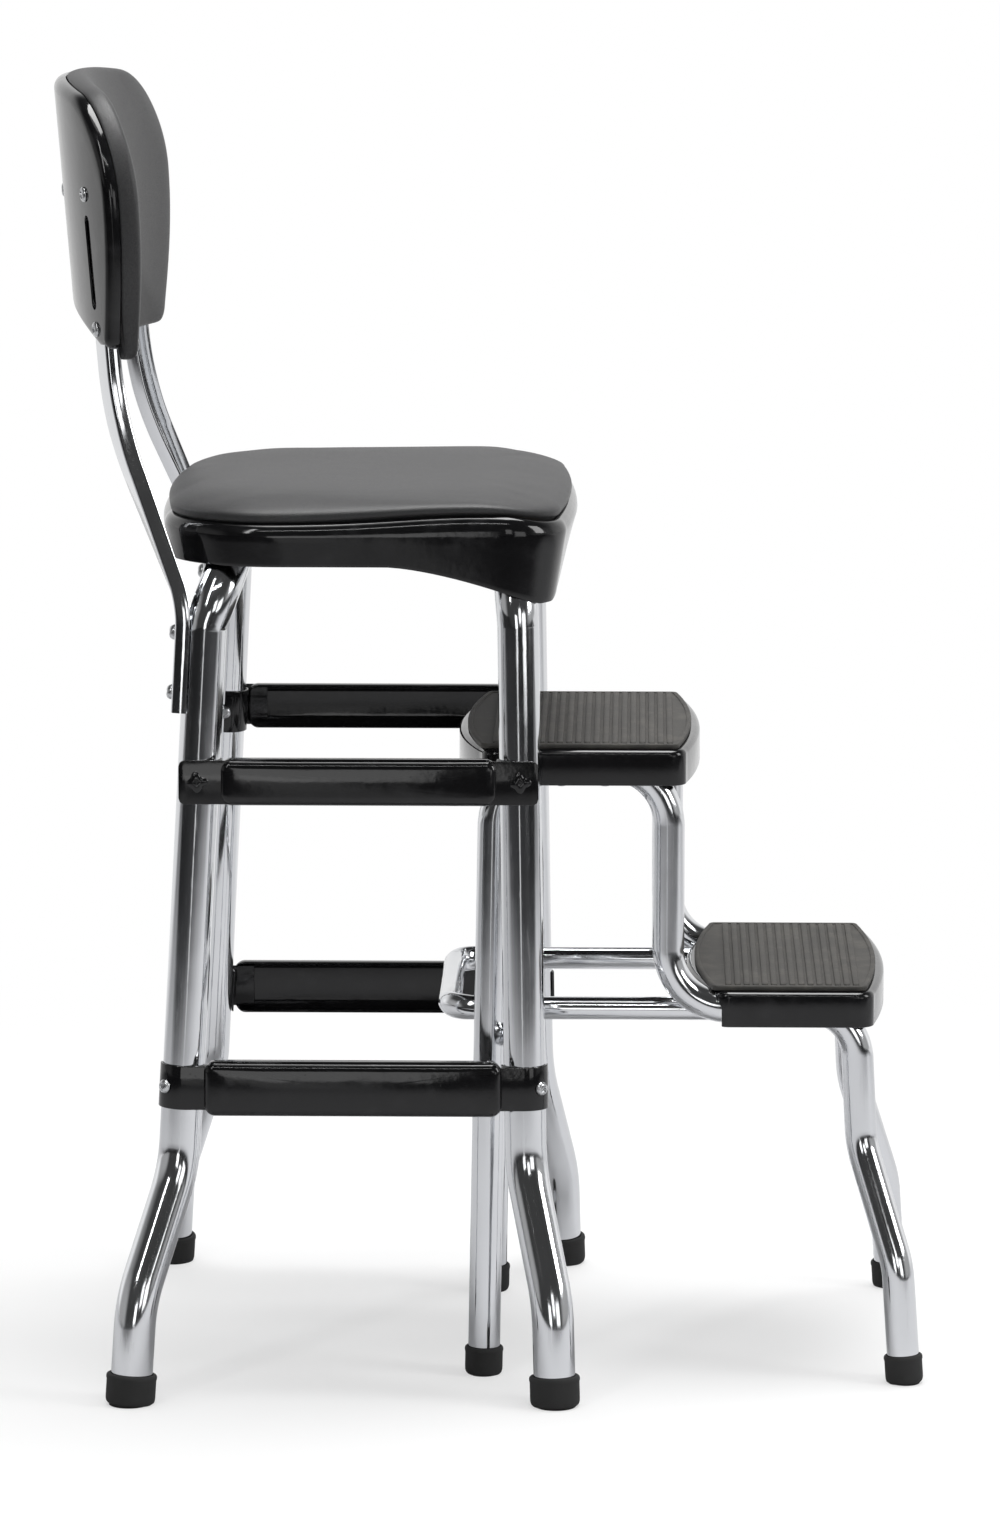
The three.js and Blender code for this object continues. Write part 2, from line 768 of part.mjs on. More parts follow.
const wrapFace = legRadius + 2 * gap + braceSheet;
for (const { side, word } of sides) {
  const upper = addBrace(`upper_${word}_brace`, upperBraceHeight, side, inwardWrap, true);
  const lower = addBrace(`lower_${word}_brace`, lowerBraceHeight, side, outwardWrap, false);
  const ends = [
    { end: "front", loop: frontLoop, legs: frontLegs, ahead: 1 },
    { end: "rear", loop: rearLoop, legs: rearLegs, ahead: -1 },
  ];
  for (const { end, loop, legs, ahead } of ends) {
    const axis = legWay(loop, side);
    const inward = squareTo(axis, new THREE.Vector3(0, -side, 0));
    const upperSeat = legAt(loop, upperBraceHeight, side).addScaledVector(inward, wrapFace);
    const upperName = `upper_${end}_${word}_brace_screw`;
    addScrew(chair, upperName, upperSeat, inward, braceHead, braceHeadRise, braceShank, [upper, legs]);
    const corner = squareTo(axis, new THREE.Vector3(ahead, side, 0));
    const lowerSeat = legAt(loop, lowerBraceHeight, side).addScaledVector(corner, wrapFace);
    const lowerName = `lower_${end}_${word}_brace_screw`;
    addScrew(chair, lowerName, lowerSeat, corner, braceHead, braceHeadRise, braceShank, [lower, legs]);
  }
}

// Cross bar

const crossBarHeight = guideHeight - acrossFlats(guideRadius + crossBarRadius, thinSides) - gap;

function addCrossBar() {
  const right = legAt(frontLoop, crossBarHeight, -1);
  const left = legAt(frontLoop, crossBarHeight, 1);
  const path = new BentPath([right, left], []);
  const bar = bentTube(path, crossBarRadius, crossBarWall, thinSides, legBoreSides);
  const legs = sides.map(({ side }) => {
    const low = legAt(frontLoop, kneeHighHeight, side);
    const high = legAt(frontLoop, shoulderHeight, side);
    return rod(low, high, around(legRadius + gap, cutterSides));
  });
  const solid = toManifold(cut(bar, legs));
  const middle = solid.decompose().sort((a, b) => b.volume() - a.volume())[0];
  addPiece(chair, "front_cross_bar", fromManifold(middle), "chrome");
}

addCrossBar();

// Seat

const seatCentre = new THREE.Vector2((seatFront + seatRear) / 2, 0);
const seatOutline = oblong({
  rear: seatRear,
  front: seatFront,
  halfWidth: seatHalfWidth,
  rearCorner: seatRearCorner,
  frontCorner: seatFrontCorner,
  rearBow: seatRearBow,
  frontBow: seatFrontBow,
  fine: 5,
});

// The rim lifts along each side, most just behind the front legs.
function sideLift(point, outward) {
  const peakShare = 0.78;
  const spreadShare = 0.27;
  const place = (point.x - seatRear) / seatDepth;
  const bump = Math.exp(-(((place - peakShare) / spreadShare) ** 2));
  return rimRise * bump * outward.y ** 4;
}

const earForwardPower = 1.5;
const earSidewaysPower = 1.6;

// The apron's lower edge drops over the front legs and rises again in the middle of the front.
function apronEdge(point) {
  const forward = THREE.MathUtils.clamp((point.x + earFront) / earLength + 1, 0, 1);
  const sideways = Math.min(1, Math.abs(point.y) / (barHalfSpread - rimInset));
  return seatTop - apronDepth - earDrop * forward ** earForwardPower * sideways ** earSidewaysPower;
}

function seatPanGeometry() {
  const crest = seatTop + rimHeight;
  const softShare = 0.3;
  const liftShare = 0.8;
  const hollowShare = 0.4;
  const soft = apronShoulder * softShare;
  const wall = panSheet * Math.hypot(rimHeight, rimWidth - rimInset) / rimHeight;
  const raised = (drop, share) => (point, outward) => crest - drop + share * sideLift(point, outward);
  const taper = (point, outward) => apronTaper + frontTaper * Math.max(0, outward.x) ** 2;
  const outer = [
    ring(seatOutline, seatCentre, rimWidth, seatTop),
    ring(seatOutline, seatCentre, rimInset, raised(0, 1)),
    ring(seatOutline, seatCentre, rimInset * softShare, raised(soft, liftShare)),
    ring(seatOutline, seatCentre, 0, crest - apronShoulder),
    ring(seatOutline, seatCentre, taper, apronEdge),
  ];
  const inner = [
    ring(seatOutline, seatCentre, (point, outward) => taper(point, outward) + panSheet, apronEdge),
    ring(seatOutline, seatCentre, panSheet, crest - apronShoulder),
    ring(seatOutline, seatCentre, rimInset * softShare + panSheet, raised(soft + panSheet, liftShare)),
    ring(seatOutline, seatCentre, rimInset - panSheet * hollowShare, raised(panSheet, 1)),
    ring(seatOutline, seatCentre, rimWidth + panSheet - wall, seatTop - panSheet),
  ];
  const top = new THREE.Vector3(seatCentre.x, seatCentre.y, seatTop);
  return loft([...outer, ...inner], top, top.clone().setZ(seatTop - panSheet));
}

const seatPan = addPiece(chair, "seat_pan", seatPanGeometry(), "enamel");

const boardFoot = seatTop + gap;
const boardTop = boardFoot + seatBoardThickness;

function seatBoardGeometry() {
  const rings = [boardFoot, boardTop].map((level) => ring(seatOutline, seatCentre, seatBoardInset, level));
  const foot = new THREE.Vector3(seatCentre.x, seatCentre.y, boardFoot);
  return loft(rings, foot, foot.clone().setZ(boardTop));
}

const seatBoard = addPiece(chair, "seat_board", seatBoardGeometry(), "wood");

// The cushion wraps round its board, sits in the rim and is crowned above.
function seatCushionGeometry() {
  const crownShares = [0.985, 0.95, 0.89, 0.78, 0.58, 0.3];
  const crownPower = 7;
  const tuckShare = 0.35;
  const tuckHeightShare = 0.3;
  const sideLiftShare = 0.8;
  const topLiftShare = 0.1;
  const crest = boardFoot + rimHeight;
  const tuck = seatPadInset + (rimInset - seatPadInset) * tuckShare;
  const lifted = (height, share) => (point, outward) => crest + height + share * sideLift(point, outward);
  const rings = [
    ring(seatOutline, seatCentre, seatBoardInset - gap, boardTop + gap),
    ring(seatOutline, seatCentre, seatBoardInset - gap, boardFoot),
    ring(seatOutline, seatCentre, rimWidth + gap, boardFoot),
    ring(seatOutline, seatCentre, rimInset + gap, lifted(0, 1)),
    ring(seatOutline, seatCentre, tuck, lifted(seatPadLow * tuckHeightShare, 1)),
    ring(seatOutline, seatCentre, seatPadInset, lifted(seatPadLow, sideLiftShare)),
    ...crownShares.map((share) => {
      const crown = seatPadCrown * Math.sqrt(1 - share ** crownPower);
      return ring(seatOutline, seatCentre, seatPadInset, lifted(seatPadLow + crown, topLiftShare), share);
    }),
  ];
  const under = new THREE.Vector3(seatCentre.x, seatCentre.y, boardTop + gap);
  const over = under.clone().setZ(crest + seatPadLow + seatPadCrown);
  return loft(rings, under, over);
}

addPiece(chair, "seat_cushion", seatCushionGeometry(), "vinyl");

for (const { side, word } of sides) {
  for (const [end, loop, legs] of [["front", frontLoop, frontLegs], ["rear", rearLoop, rearLegs]]) {
    const seat = new THREE.Vector3(loop.bar.x, side * seatScrewHalfSpread, barHeight - legRadius - gap);
    const shank = legDiameter + gap + panSheet + gap + seatBoardThickness;
    const held = [legs, seatPan, seatBoard];
    addScrew(chair, `seat_${end}_${word}_screw`, seat, down, panHead, panHeadRise, shank, held);
  }
}

// Backrest, made flat and then bent round an upright cylinder in front of it

const back = new THREE.Group();
back.position.set(seatRear - backBehind, 0, seatTop + backRise);
back.rotation.y = -backLean;
chair.add(back);

// Across the curve, up it and forward from its rear face, into the backrest's own frame.
function bend(across, upward, forward) {
  const angle = across / backCurveRadius;
  const radius = backCurveRadius - forward;
  return new THREE.Vector3(backCurveRadius - radius * Math.cos(angle), radius * Math.sin(angle), upward);
}

function bendGeometry(geometry) {
  const position = geometry.getAttribute("position");
  const point = new THREE.Vector3();
  for (let i = 0; i < position.count; i += 1) {
    point.fromBufferAttribute(position, i);
    const bent = bend(point.y, point.x, point.z);
    position.setXYZ(i, bent.x, bent.y, bent.z);
  }
  return closed(geometry);
}

// The outline of the backrest, grown past the shell by an overhang above, below and at its sides.
// It narrows towards its foot. Its upper and lower edges have their points at matching places.
function backOutline({ above = 0, below = 0, beside = 0, footCorner, footArch = 0 }) {
  const taperPower = 1.7;
  const halfWidth = backWidth / 2 + beside;
  const topCorner = backTopCorner + above;
  const flat = halfWidth - topCorner;
  const flatSteps = 5;
  const cornerSteps = 4;
  const places = Array.from({ length: flatSteps }, (_, i) => (flat * i) / flatSteps);
  for (let i = 0; i <= cornerSteps; i += 1) {
    places.push(flat + topCorner * Math.sin(((i / cornerSteps) * Math.PI) / 2));
  }
  const upper = places.map((y) => {
    const bow = backTopBow * (y / halfWidth) ** 2;
    const over = Math.max(0, y - flat);
    const drop = topCorner - Math.sqrt(Math.max(0, topCorner ** 2 - over ** 2));
    return [backHeight + above - bow - drop, y];
  });
  upper.push([backWidest, halfWidth]);
  const halfWidthAt = (x) => {
    const low = Math.max(0, 1 - x / backWidest);
    return halfWidth * (1 - backTaperShare * low ** taperPower);
  };
  const footFlat = halfWidthAt(footCorner - below) - footCorner;
  const foot = places.filter((y) => y < footFlat).map((y) => {
    return [footArch * Math.max(0, 1 - (y / shellArchSpread) ** 2) - below, y];
  });
  for (const share of [1 / 2, 1]) {
    const angle = (share * Math.PI) / 2;
    foot.push([footCorner * (1 - Math.cos(angle)) - below, footFlat + footCorner * Math.sin(angle)]);
  }
  const sideCount = upper.length - foot.length;
  for (let i = 1; i <= sideCount; i += 1) {
    const x = THREE.MathUtils.lerp(footCorner - below, backWidest, i / (sideCount + 1));
    foot.push([x, halfWidthAt(x)]);
  }
  return mirrored([...upper, ...foot.reverse()]);
}

const backCentre = new THREE.Vector2(backHeight / 2, 0);

function shellGeometry() {
  const outline = backOutline({ footCorner: shellFootCorner, footArch: shellFootArch });
  const sizes = { sheet: shellSheet, roll: shellRoll, depth: shellFlange };
  const flat = tray({ outline, centre: backCentre, ...sizes, inStrips: true });
  return bendGeometry(flat.scale(1, 1, -1));
}

const shell = addPiece(back, "backrest_shell", shellGeometry(), "enamel");

// The supports are flat across and the backrest is curved, so they stand a little off its plate.
const supportSag = supportWidth ** 2 / (8 * backCurveRadius);
const channelFace = shellSheet + gap + supportSag; // rear face of the supports, from the shell's rear
const backBoardRear = channelFace + supportDepth + gap + supportSag;
const backBoardFront = backBoardRear + backBoardThickness;

function padOutline(inset = 0) {
  return backOutline({
    above: backPadTopOverhang - inset,
    below: backPadFootOverhang - inset,
    beside: backPadSideOverhang - inset,
    footCorner: Math.max(backPadFootCorner - inset, backBoardCorner),
  });
}

function backBoardGeometry() {
  const outline = padOutline(backBoardInset + backPadFootOverhang);
  const rings = [backBoardRear, backBoardFront].map((level) => ring(outline, backCentre, 0, level));
  return bendGeometry(loft(rings));
}

const backBoard = addPiece(back, "back_board", backBoardGeometry(), "wood");

function backCushionGeometry() {
  const crownShares = [0.98, 0.94, 0.87, 0.75, 0.55, 0.28];
  const crownPower = 2;
  const outline = padOutline();
  const rear = backBoardRear + gap;
  const recess = padOutline(backBoardInset + backPadFootOverhang - gap);
  const thinnedShare = 0.6;
  const lipShare = 0.35;
  const edgeShare = 0.15;
  const edgeRiseShare = 0.4;
  const raised = (height) => (point) => {
    const belowMiddle = Math.max(0, 1 - point.x / backCentre.x);
    return rear + height * (1 - thinnedShare * belowMiddle ** 2);
  };
  // The edge reaches back to the shell's flange, but not low down, where the supports come up.
  const tucked = (point) => {
    return rear - (rear - shellFlange - gap) * THREE.MathUtils.clamp(point.x / notchHeight, 0, 1);
  };
  const rings = [
    ring(recess, backCentre, 0, backBoardFront + gap),
    ring(recess, backCentre, 0, rear),
    ring(outline, backCentre, backPadLip, rear),
    ring(outline, backCentre, backPadLip * lipShare, tucked),
    ring(outline, backCentre, backPadLow * edgeShare, raised(backPadLow * edgeRiseShare)),
    ring(outline, backCentre, 0, raised(backPadLow)),
    ...crownShares.map((share) => {
      const crown = backPadCrown * Math.sqrt(1 - share ** crownPower);
      return ring(outline, backCentre, 0, raised(backPadLow + crown), share);
    }),
  ];
  const over = new THREE.Vector3(backCentre.x, backCentre.y, rear + backPadLow + backPadCrown);
  return bendGeometry(loft(rings, undefined, over));
}

addPiece(back, "backrest_cushion", backCushionGeometry(), "vinyl");
back.updateWorldMatrix(true, true);

// A place on the backrest in the chair's frame, and the way its rear face looks there.
function onBack(across, upward, forward) {
  return back.localToWorld(bend(across, upward, forward));
}

function rearward(across) {
  const angle = across / backCurveRadius;
  const way = new THREE.Vector3(-Math.cos(angle), Math.sin(angle), 0);
  return way.applyQuaternion(back.quaternion);
}

// Back supports

const supportAcross = backCurveRadius * Math.asin(supportHalfSpread / backCurveRadius);
const supportInner = supportWidth / 2 - supportSheet;
const supportStandoff = Math.sqrt((legRadius + gap) ** 2 - supportInner ** 2) + supportDepth;
const boardShank = backBoardFront + gap; // from under a head to the front of the board

// The channel's section: across its width, and forward from its rear face.
function channelSection() {
  const half = supportWidth / 2;
  const inner = supportCorner - supportSheet;
  const bevelShare = 0.3;
  const oneSide = [
    [half - supportCorner, 0],
    [half - supportCorner * bevelShare, supportCorner * bevelShare],
    [half, supportCorner],
    [half, supportDepth],
    [half - supportSheet, supportDepth],
    [half - supportSheet, supportCorner],
    [half - supportSheet - inner, supportSheet],
  ];
  const otherSide = oneSide.map(([x, y]) => [-x, y]).reverse();
  return [...oneSide, ...otherSide].map(([x, y]) => new THREE.Vector2(x, y));
}

function supportGeometry(side) {
  const axis = legWay(rearLoop, side);
  const behind = squareTo(axis, new THREE.Vector3(-1, 0, 0));
  const foot = legAt(rearLoop, supportFootHeight, side).addScaledVector(behind, supportStandoff);
  const low = legAt(rearLoop, supportBendHeight, side).addScaledVector(behind, supportStandoff);
  const high = onBack(side * supportAcross, -supportDrop, channelFace);
  const top = onBack(side * supportAcross, supportReach, channelFace);
  const path = new BentPath([foot, low, high, top], [supportLowRadius, supportHighRadius]);
  const turned = rearward(side * supportAcross);
  const section = channelSection();
  const rings = path.stations.map(({ point, tangent }) => {
    const share = THREE.MathUtils.clamp((point.z - low.z) / (high.z - low.z), 0, 1);
    const outward = squareTo(tangent, behind.clone().lerp(turned, share));
    const across = tangent.clone().cross(outward);
    return section.map(({ x, y }) => point.clone().addScaledVector(across, x).addScaledVector(outward, -y));
  });
  const count = section.length;
  const index = [];
  for (let r = 0; r + 1 < rings.length; r += 1) {
    for (let i = 0; i < count; i += 1) {
      const next = (i + 1) % count;
      const [a, b] = [r * count + i, r * count + next];
      index.push(a, b, b + count, a, b + count, a + count);
    }
  }
  const end = (rings.length - 1) * count;
  for (const [a, b, c] of THREE.ShapeUtils.triangulateShape(section, [])) {
    index.push(a, c, b, end + a, end + b, end + c);
  }
  const geometry = new THREE.BufferGeometry().setFromPoints(rings.flat());
  geometry.setIndex(index);
  return closed(geometry);
}

// A frame on the backrest: x across it, y up it and z out of its rear face.
function backFrame(across, upward, forward) {
  const outward = rearward(across);
  const upright = squareTo(outward, up.clone().applyQuaternion(back.quaternion));
  const frame = new THREE.Matrix4().makeBasis(upright.clone().cross(outward), upright, outward);
  return frame.setPosition(onBack(across, upward, forward));
}

function slotCutter(across) {
  const radius = slotWidth / 2;
  const shape = new THREE.Shape();
  shape.absarc(0, radius, radius, Math.PI, 2 * Math.PI, false);
  shape.absarc(0, slotHeight - radius, radius, 0, Math.PI, false);
  const depth = shellSheet + gap / 2 + overrun;
  const geometry = new THREE.ExtrudeGeometry(shape, { depth, bevelEnabled: false, curveSegments: 5 });
  return geometry.applyMatrix4(backFrame(across, slotFoot, shellSheet + gap / 2));
}

// The shell's lower flange is open where a support comes up into it.
function supportNotch(across) {
  const half = supportWidth / 2 + notchClearance;
  const low = new THREE.Vector3(-half, -overrun, -shellFlange - overrun);
  const high = new THREE.Vector3(half, notchHeight, 0);
  return block(low, high).applyMatrix4(backFrame(across, 0, shellSheet));
}

for (const { side, word } of sides) {
  const support = addPiece(chair, `${word}_back_support`, supportGeometry(side), "chrome");
  const behind = squareTo(legWay(rearLoop, side), new THREE.Vector3(-1, 0, 0));
  for (const [place, rise] of [["lower", 0], ["upper", supportScrewSpacing]]) {
    const height = supportFootHeight + supportScrewLow + rise;
    const seat = legAt(rearLoop, height, side).addScaledVector(behind, supportStandoff + gap);
    const name = `${place}_${word}_support_screw`;
    addScrew(chair, name, seat, behind, supportHead, supportHeadRise, supportShank, [support, rearLegs]);
  }
  const across = side * supportAcross;
  const facing = rearward(across);
  const shellScrews = [
    { place: "lower", rise: shellScrewLow, shank: supportDepth, held: [shell, support] },
    { place: "upper", rise: shellScrewHigh, shank: boardShank, held: [shell, support, backBoard] },
  ];
  for (const { place, rise, shank, held } of shellScrews) {
    const name = `${place}_${word}_shell_screw`;
    addScrew(chair, name, onBack(across, rise, -gap), facing, shellHead, shellHeadRise, shank, held);
  }
  cutInPlace(shell, [slotCutter(across), supportNotch(across)]);
}

addScrew(
  chair,
  "upper_middle_shell_screw",
  onBack(0, shellScrewMiddle, -gap),
  rearward(0),
  shellHead,
  shellHeadRise,
  boardShank,
  [shell, backBoard],
);

// Step unit

function stepPoints(side) {
  const at = (x, flare, z) => new THREE.Vector3(x, side * (stepHalfSpread + flare), z);
  const upperTube = upperTreadHeight - stepSheet - gap - stepRadius;
  const lowerTube = lowerTreadHeight - stepSheet - gap - stepRadius;
  return {
    rearFoot: at(-stepRearFootSetback, stepRearFootFlare, 0),
    rearTop: at(-stepRearLegSetback, 0, upperTube),
    riserTop: at(riserReach, 0, upperTube),
    riserFoot: at(riserReach, 0, lowerTube),
    frontTop: at(stepFrontReach, 0, lowerTube),
    kneeHigh: at(stepKneeHighReach, stepKneeHighFlare, stepKneeHighHeight),
    kneeLow: at(stepKneeLowReach, stepKneeLowFlare, stepKneeLowHeight),
    frontFoot: at(stepFrontFootReach, stepFrontFootFlare, 0),
  };
}

function sideFramePath(side) {
  const p = stepPoints(side);
  const corners = [
    tubeStart(p.rearFoot, p.rearTop),
    p.rearTop,
    p.riserTop,
    p.riserFoot,
    p.frontTop,
    p.kneeHigh,
    p.kneeLow,
    tubeStart(p.frontFoot, p.kneeLow),
  ];
  const bend90 = stepBendRadius;
  return new BentPath(corners, [bend90, bend90, bend90, stepFrontBendRadius, stepKneeRadius, stepKneeRadius]);
}

const guideHalfSpread = stepHalfSpread - stepRadius - gap - guideRadius;

function guidePath() {
  const at = (x, side) => new THREE.Vector3(x, side * guideHalfSpread, guideHeight);
  const [front, rear] = [guideFrontReach, -guideRearSetback];
  const corners = [at(front, 1), at(rear, 1), at(rear, -1), at(front, -1)];
  return new BentPath(corners, [guideBendRadius, guideBendRadius]);
}

function treadPan(rear, front, height) {
  const outline = oblong({
    rear,
    front,
    halfWidth: treadHalfWidth,
    rearCorner: treadCorner,
    frontCorner: treadCorner,
    rearBow: treadRearBow,
    frontBow: treadFrontBow,
    fine: 3,
  });
  const centre = new THREE.Vector2((rear + front) / 2, 0);
  const pan = tray({ outline, centre, sheet: stepSheet, roll: treadRoll, depth: skirtDepth });
  return pan.translate(0, 0, height);
}

// A rubber mat with raised ribs that run across the step.
function treadMat(panRear, panFront, height) {
  const rear = panRear + rubberMargin;
  const front = panFront - rubberMargin;
  const foot = height + gap;
  const outline = oblong({
    rear,
    front,
    halfWidth: treadHalfWidth - rubberMargin,
    rearCorner: rubberCorner,
    frontCorner: rubberCorner,
    rearBow: rubberRearBow,
    frontBow: rubberFrontBow,
    fine: 2,
  });
  const centre = new THREE.Vector2((rear + front) / 2, 0);
  const edge = ribRise;
  const rings = [
    ring(outline, centre, 0, foot),
    ring(outline, centre, 0, foot + rubberBase - edge),
    ring(outline, centre, edge, foot + rubberBase),
  ];
  const under = new THREE.Vector3(centre.x, centre.y, foot);
  const base = loft(rings, under, under.clone().setZ(foot + rubberBase));
  const first = rear + rubberRearBow + ribBorder;
  const last = front - rubberFrontBow - ribBorder + ribWidth;
  const count = Math.max(1, Math.floor((last - first) / ribPitch));
  const start = (first + last - (count - 1) * ribPitch) / 2;
  const reach = treadHalfWidth - rubberMargin - ribBorder;
  const ribs = Array.from({ length: count }, (_, i) => {
    const x = start + i * ribPitch;
    return block(
      new THREE.Vector3(x - ribWidth / 2, -reach, foot + rubberBase / 2),
      new THREE.Vector3(x + ribWidth / 2, reach, foot + rubberBase + ribRise),
    );
  });
  return join([base, ...ribs]);
}

const upperRear = -stepRearLegSetback - upperRearOverhang;
const upperFront = riserReach + upperFrontOverhang;
const lowerRear = riserReach + lowerRearInset;
const lowerFront = stepFrontReach + lowerFrontOverhang;

const upperStep = [upperRear, upperFront, upperTreadHeight];
const lowerStep = [lowerRear, lowerFront, lowerTreadHeight];

const upperPan = addPiece(stepUnit, "upper_step_pan", treadPan(...upperStep), "enamel");
const lowerPan = addPiece(stepUnit, "lower_step_pan", treadPan(...lowerStep), "enamel");
addPiece(stepUnit, "upper_tread", treadMat(...upperStep), "ribbedRubber");
addPiece(stepUnit, "lower_tread", treadMat(...lowerStep), "ribbedRubber");

const guideTube = bentTube(guidePath(), guideRadius, guideWall, thinSides, legBoreSides);
addPiece(stepUnit, "guide_tube", guideTube, "chrome");

// The lower pan's rear skirt is notched from below for the side frames and the guide rails.
function notch(path, radius, from, to, y) {
  const clear = radius + gap;
  const tube = bentTube(path, around(clear, stepSides), 0, stepSides, 0);
  const low = new THREE.Vector3(from, y - clear, lowerTreadHeight - skirtDepth - overrun);
  const high = new THREE.Vector3(to, y + clear, guideHeight);
  return [tube, block(low, high)];
}

for (const { side, word } of sides) {
  const p = stepPoints(side);
  const path = sideFramePath(side);
  const tube = bentTube(path, stepRadius, stepWall, stepSides, stepBoreSides);
  const frame = addPiece(stepUnit, `${word}_step_frame`, tube, "chrome");
  const from = lowerRear - overrun;
  const to = lowerRear + treadRearBow + treadCorner;
  cutInPlace(lowerPan, [
    ...notch(path, stepRadius, from, to, side * stepHalfSpread),
    ...notch(guidePath(), guideRadius, from, to, side * guideHalfSpread),
  ]);
  const feet = [
    { end: "rear", foot: p.rearFoot, next: p.rearTop },
    { end: "front", foot: p.frontFoot, next: p.kneeLow },
  ];
  for (const { end, foot, next } of feet) {
    addCap(stepUnit, `step_${end}_${word}_foot_cap`, foot, next, stepRadius, stepCapWall, stepCapHeight);
  }
  const upperScrew = { tube: p.riserTop, rise: panHeadRise, pan: upperPan };
  const lowerScrew = { tube: p.riserFoot, rise: lowerPanHeadRise, pan: lowerPan };
  const screws = [
    { name: "upper_rear", x: upperScrewReach - upperScrewSpacing, ...upperScrew },
    { name: "upper_front", x: upperScrewReach, ...upperScrew },
    { name: "lower", x: lowerScrewReach, ...lowerScrew },
  ];
  for (const { name, x, tube: along, rise, pan } of screws) {
    const seat = new THREE.Vector3(x, side * stepHalfSpread, along.z - stepRadius - gap);
    const shank = stepTube + gap + stepSheet;
    addScrew(stepUnit, `${name}_${word}_pan_screw`, seat, down, panHead, rise, shank, [frame, pan]);
  }
}

// The origin goes under the middle of the whole chair, from the top of the back to the front feet.
whole.updateMatrixWorld(true);
const box = new THREE.Box3().setFromObject(whole);
whole.position.x = -(box.min.x + box.max.x) / 2;

export default whole;
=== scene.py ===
"""A counter chair whose two steps slide out from under its seat.

Lengths are in millimetres, set out from the chair's front feet as the frame is: x forward,
y across and z up. They turn into metres where a form becomes a piece.
"""

import logging
import math
from dataclasses import dataclass, field
from enum import Enum
from typing import Callable, Sequence, Union

import bmesh
import bpy
from mathutils import Matrix, Quaternion, Vector, noise


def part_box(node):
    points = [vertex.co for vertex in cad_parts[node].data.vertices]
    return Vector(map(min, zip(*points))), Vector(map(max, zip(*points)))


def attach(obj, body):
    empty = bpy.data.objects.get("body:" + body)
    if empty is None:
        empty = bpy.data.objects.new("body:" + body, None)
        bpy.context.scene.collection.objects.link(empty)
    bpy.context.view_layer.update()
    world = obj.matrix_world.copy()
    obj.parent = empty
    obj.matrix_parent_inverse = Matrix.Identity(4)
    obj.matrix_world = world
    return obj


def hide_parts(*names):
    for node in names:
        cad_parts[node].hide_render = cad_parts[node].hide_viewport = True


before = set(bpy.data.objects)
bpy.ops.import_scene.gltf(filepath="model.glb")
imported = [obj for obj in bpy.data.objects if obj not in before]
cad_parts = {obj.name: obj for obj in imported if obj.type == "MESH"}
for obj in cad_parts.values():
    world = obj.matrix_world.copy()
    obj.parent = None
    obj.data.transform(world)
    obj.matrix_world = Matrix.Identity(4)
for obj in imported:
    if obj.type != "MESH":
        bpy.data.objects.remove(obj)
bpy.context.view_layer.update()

MM = 0.001
GAP = 0.3  # between two pieces that lie against each other
SEAT_FRONT = 12.0  # the seat's front edge, ahead of the front feet
FRONT_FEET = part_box("seat_pan")[1][0] - SEAT_FRONT * MM
SIDES = ((-1, "right"), (1, "left"))
UP = Vector((0, 0, 1))
QUARTER = math.pi / 2
PHOTO_HEIGHT = 1513
PRESSED_ANGLE = 42  # degrees: sharper edges stay sharp on pressed steel
CROWN_SPACING = 0.62  # draws a cushion's rings together towards its edge
COVER_ANGLE = 70
FOLD_ACROSS, FOLD_DOWN = 7, 60  # how far apart and how long a cover's small folds are
CLOTH_FRAMES = 20
CLOTH = {"use_pressure": True, "uniform_pressure_force": 5.0, "tension_stiffness": 15,
         "compression_stiffness": 15, "bending_stiffness": 2.0}

log = logging.getLogger("chair")

Number = Union[float, int]
Measure = Union[Number, Callable[[Vector, Vector], float]]


class Body(Enum):
    """What a piece moves with."""

    CHAIR = "chair"
    STEPS = "step_unit"


class Slot(Enum):
    """The record's finish for a piece."""

    CHROME = "chrome"
    SCREW = "screw_steel"
    ENAMEL = "black_enamel"
    VINYL = "vinyl"
    TREAD = "tread_rubber"
    FOOT = "foot_rubber"
    WOOD = "board_wood"


# Shader expressions


@dataclass(frozen=True)
class Value:
    """A shader socket on which Python's operators add Math nodes."""

    shader: "Shader"
    socket: bpy.types.NodeSocket

    def math(self, operation: str, *others: "Value | Number", swapped: bool = False) -> "Value":
        """Adds one Math node.

        Args:
            operation: The Math node's operation.
            others: The other operands.
            swapped: True where this value comes second.

        Returns:
            The result.
        """
        operands = [*others, self] if swapped else [self, *others]
        sockets = dict(enumerate(operands))
        return self.shader.node("ShaderNodeMath", {"operation": operation}, sockets)

    def __add__(self, other: "Value | Number") -> "Value":
        """Adds."""
        return self.math("ADD", other)

    __radd__ = __add__

    def __mul__(self, other: "Value | Number") -> "Value":
        """Multiplies."""
        return self.math("MULTIPLY", other)

    __rmul__ = __mul__

    def __sub__(self, other: "Value | Number") -> "Value":
        """Takes a value away."""
        return self.math("SUBTRACT", other)

    def __rsub__(self, other: "Value | Number") -> "Value":
        """Takes this value away."""
        return self.math("SUBTRACT", other, swapped=True)

    def clamped(self) -> "Value":
        """Keeps the value between zero and one."""
        return self.math("MINIMUM", 1.0).math("MAXIMUM", 0.0)

    def between(self, low: Number, high: Number) -> "Value":
        """A soft step from zero at low to one at high."""
        settings = {"interpolation_type": "SMOOTHSTEP"}
        return self.shader.node("ShaderNodeMapRange", settings, {0: self, 1: low, 2: high})


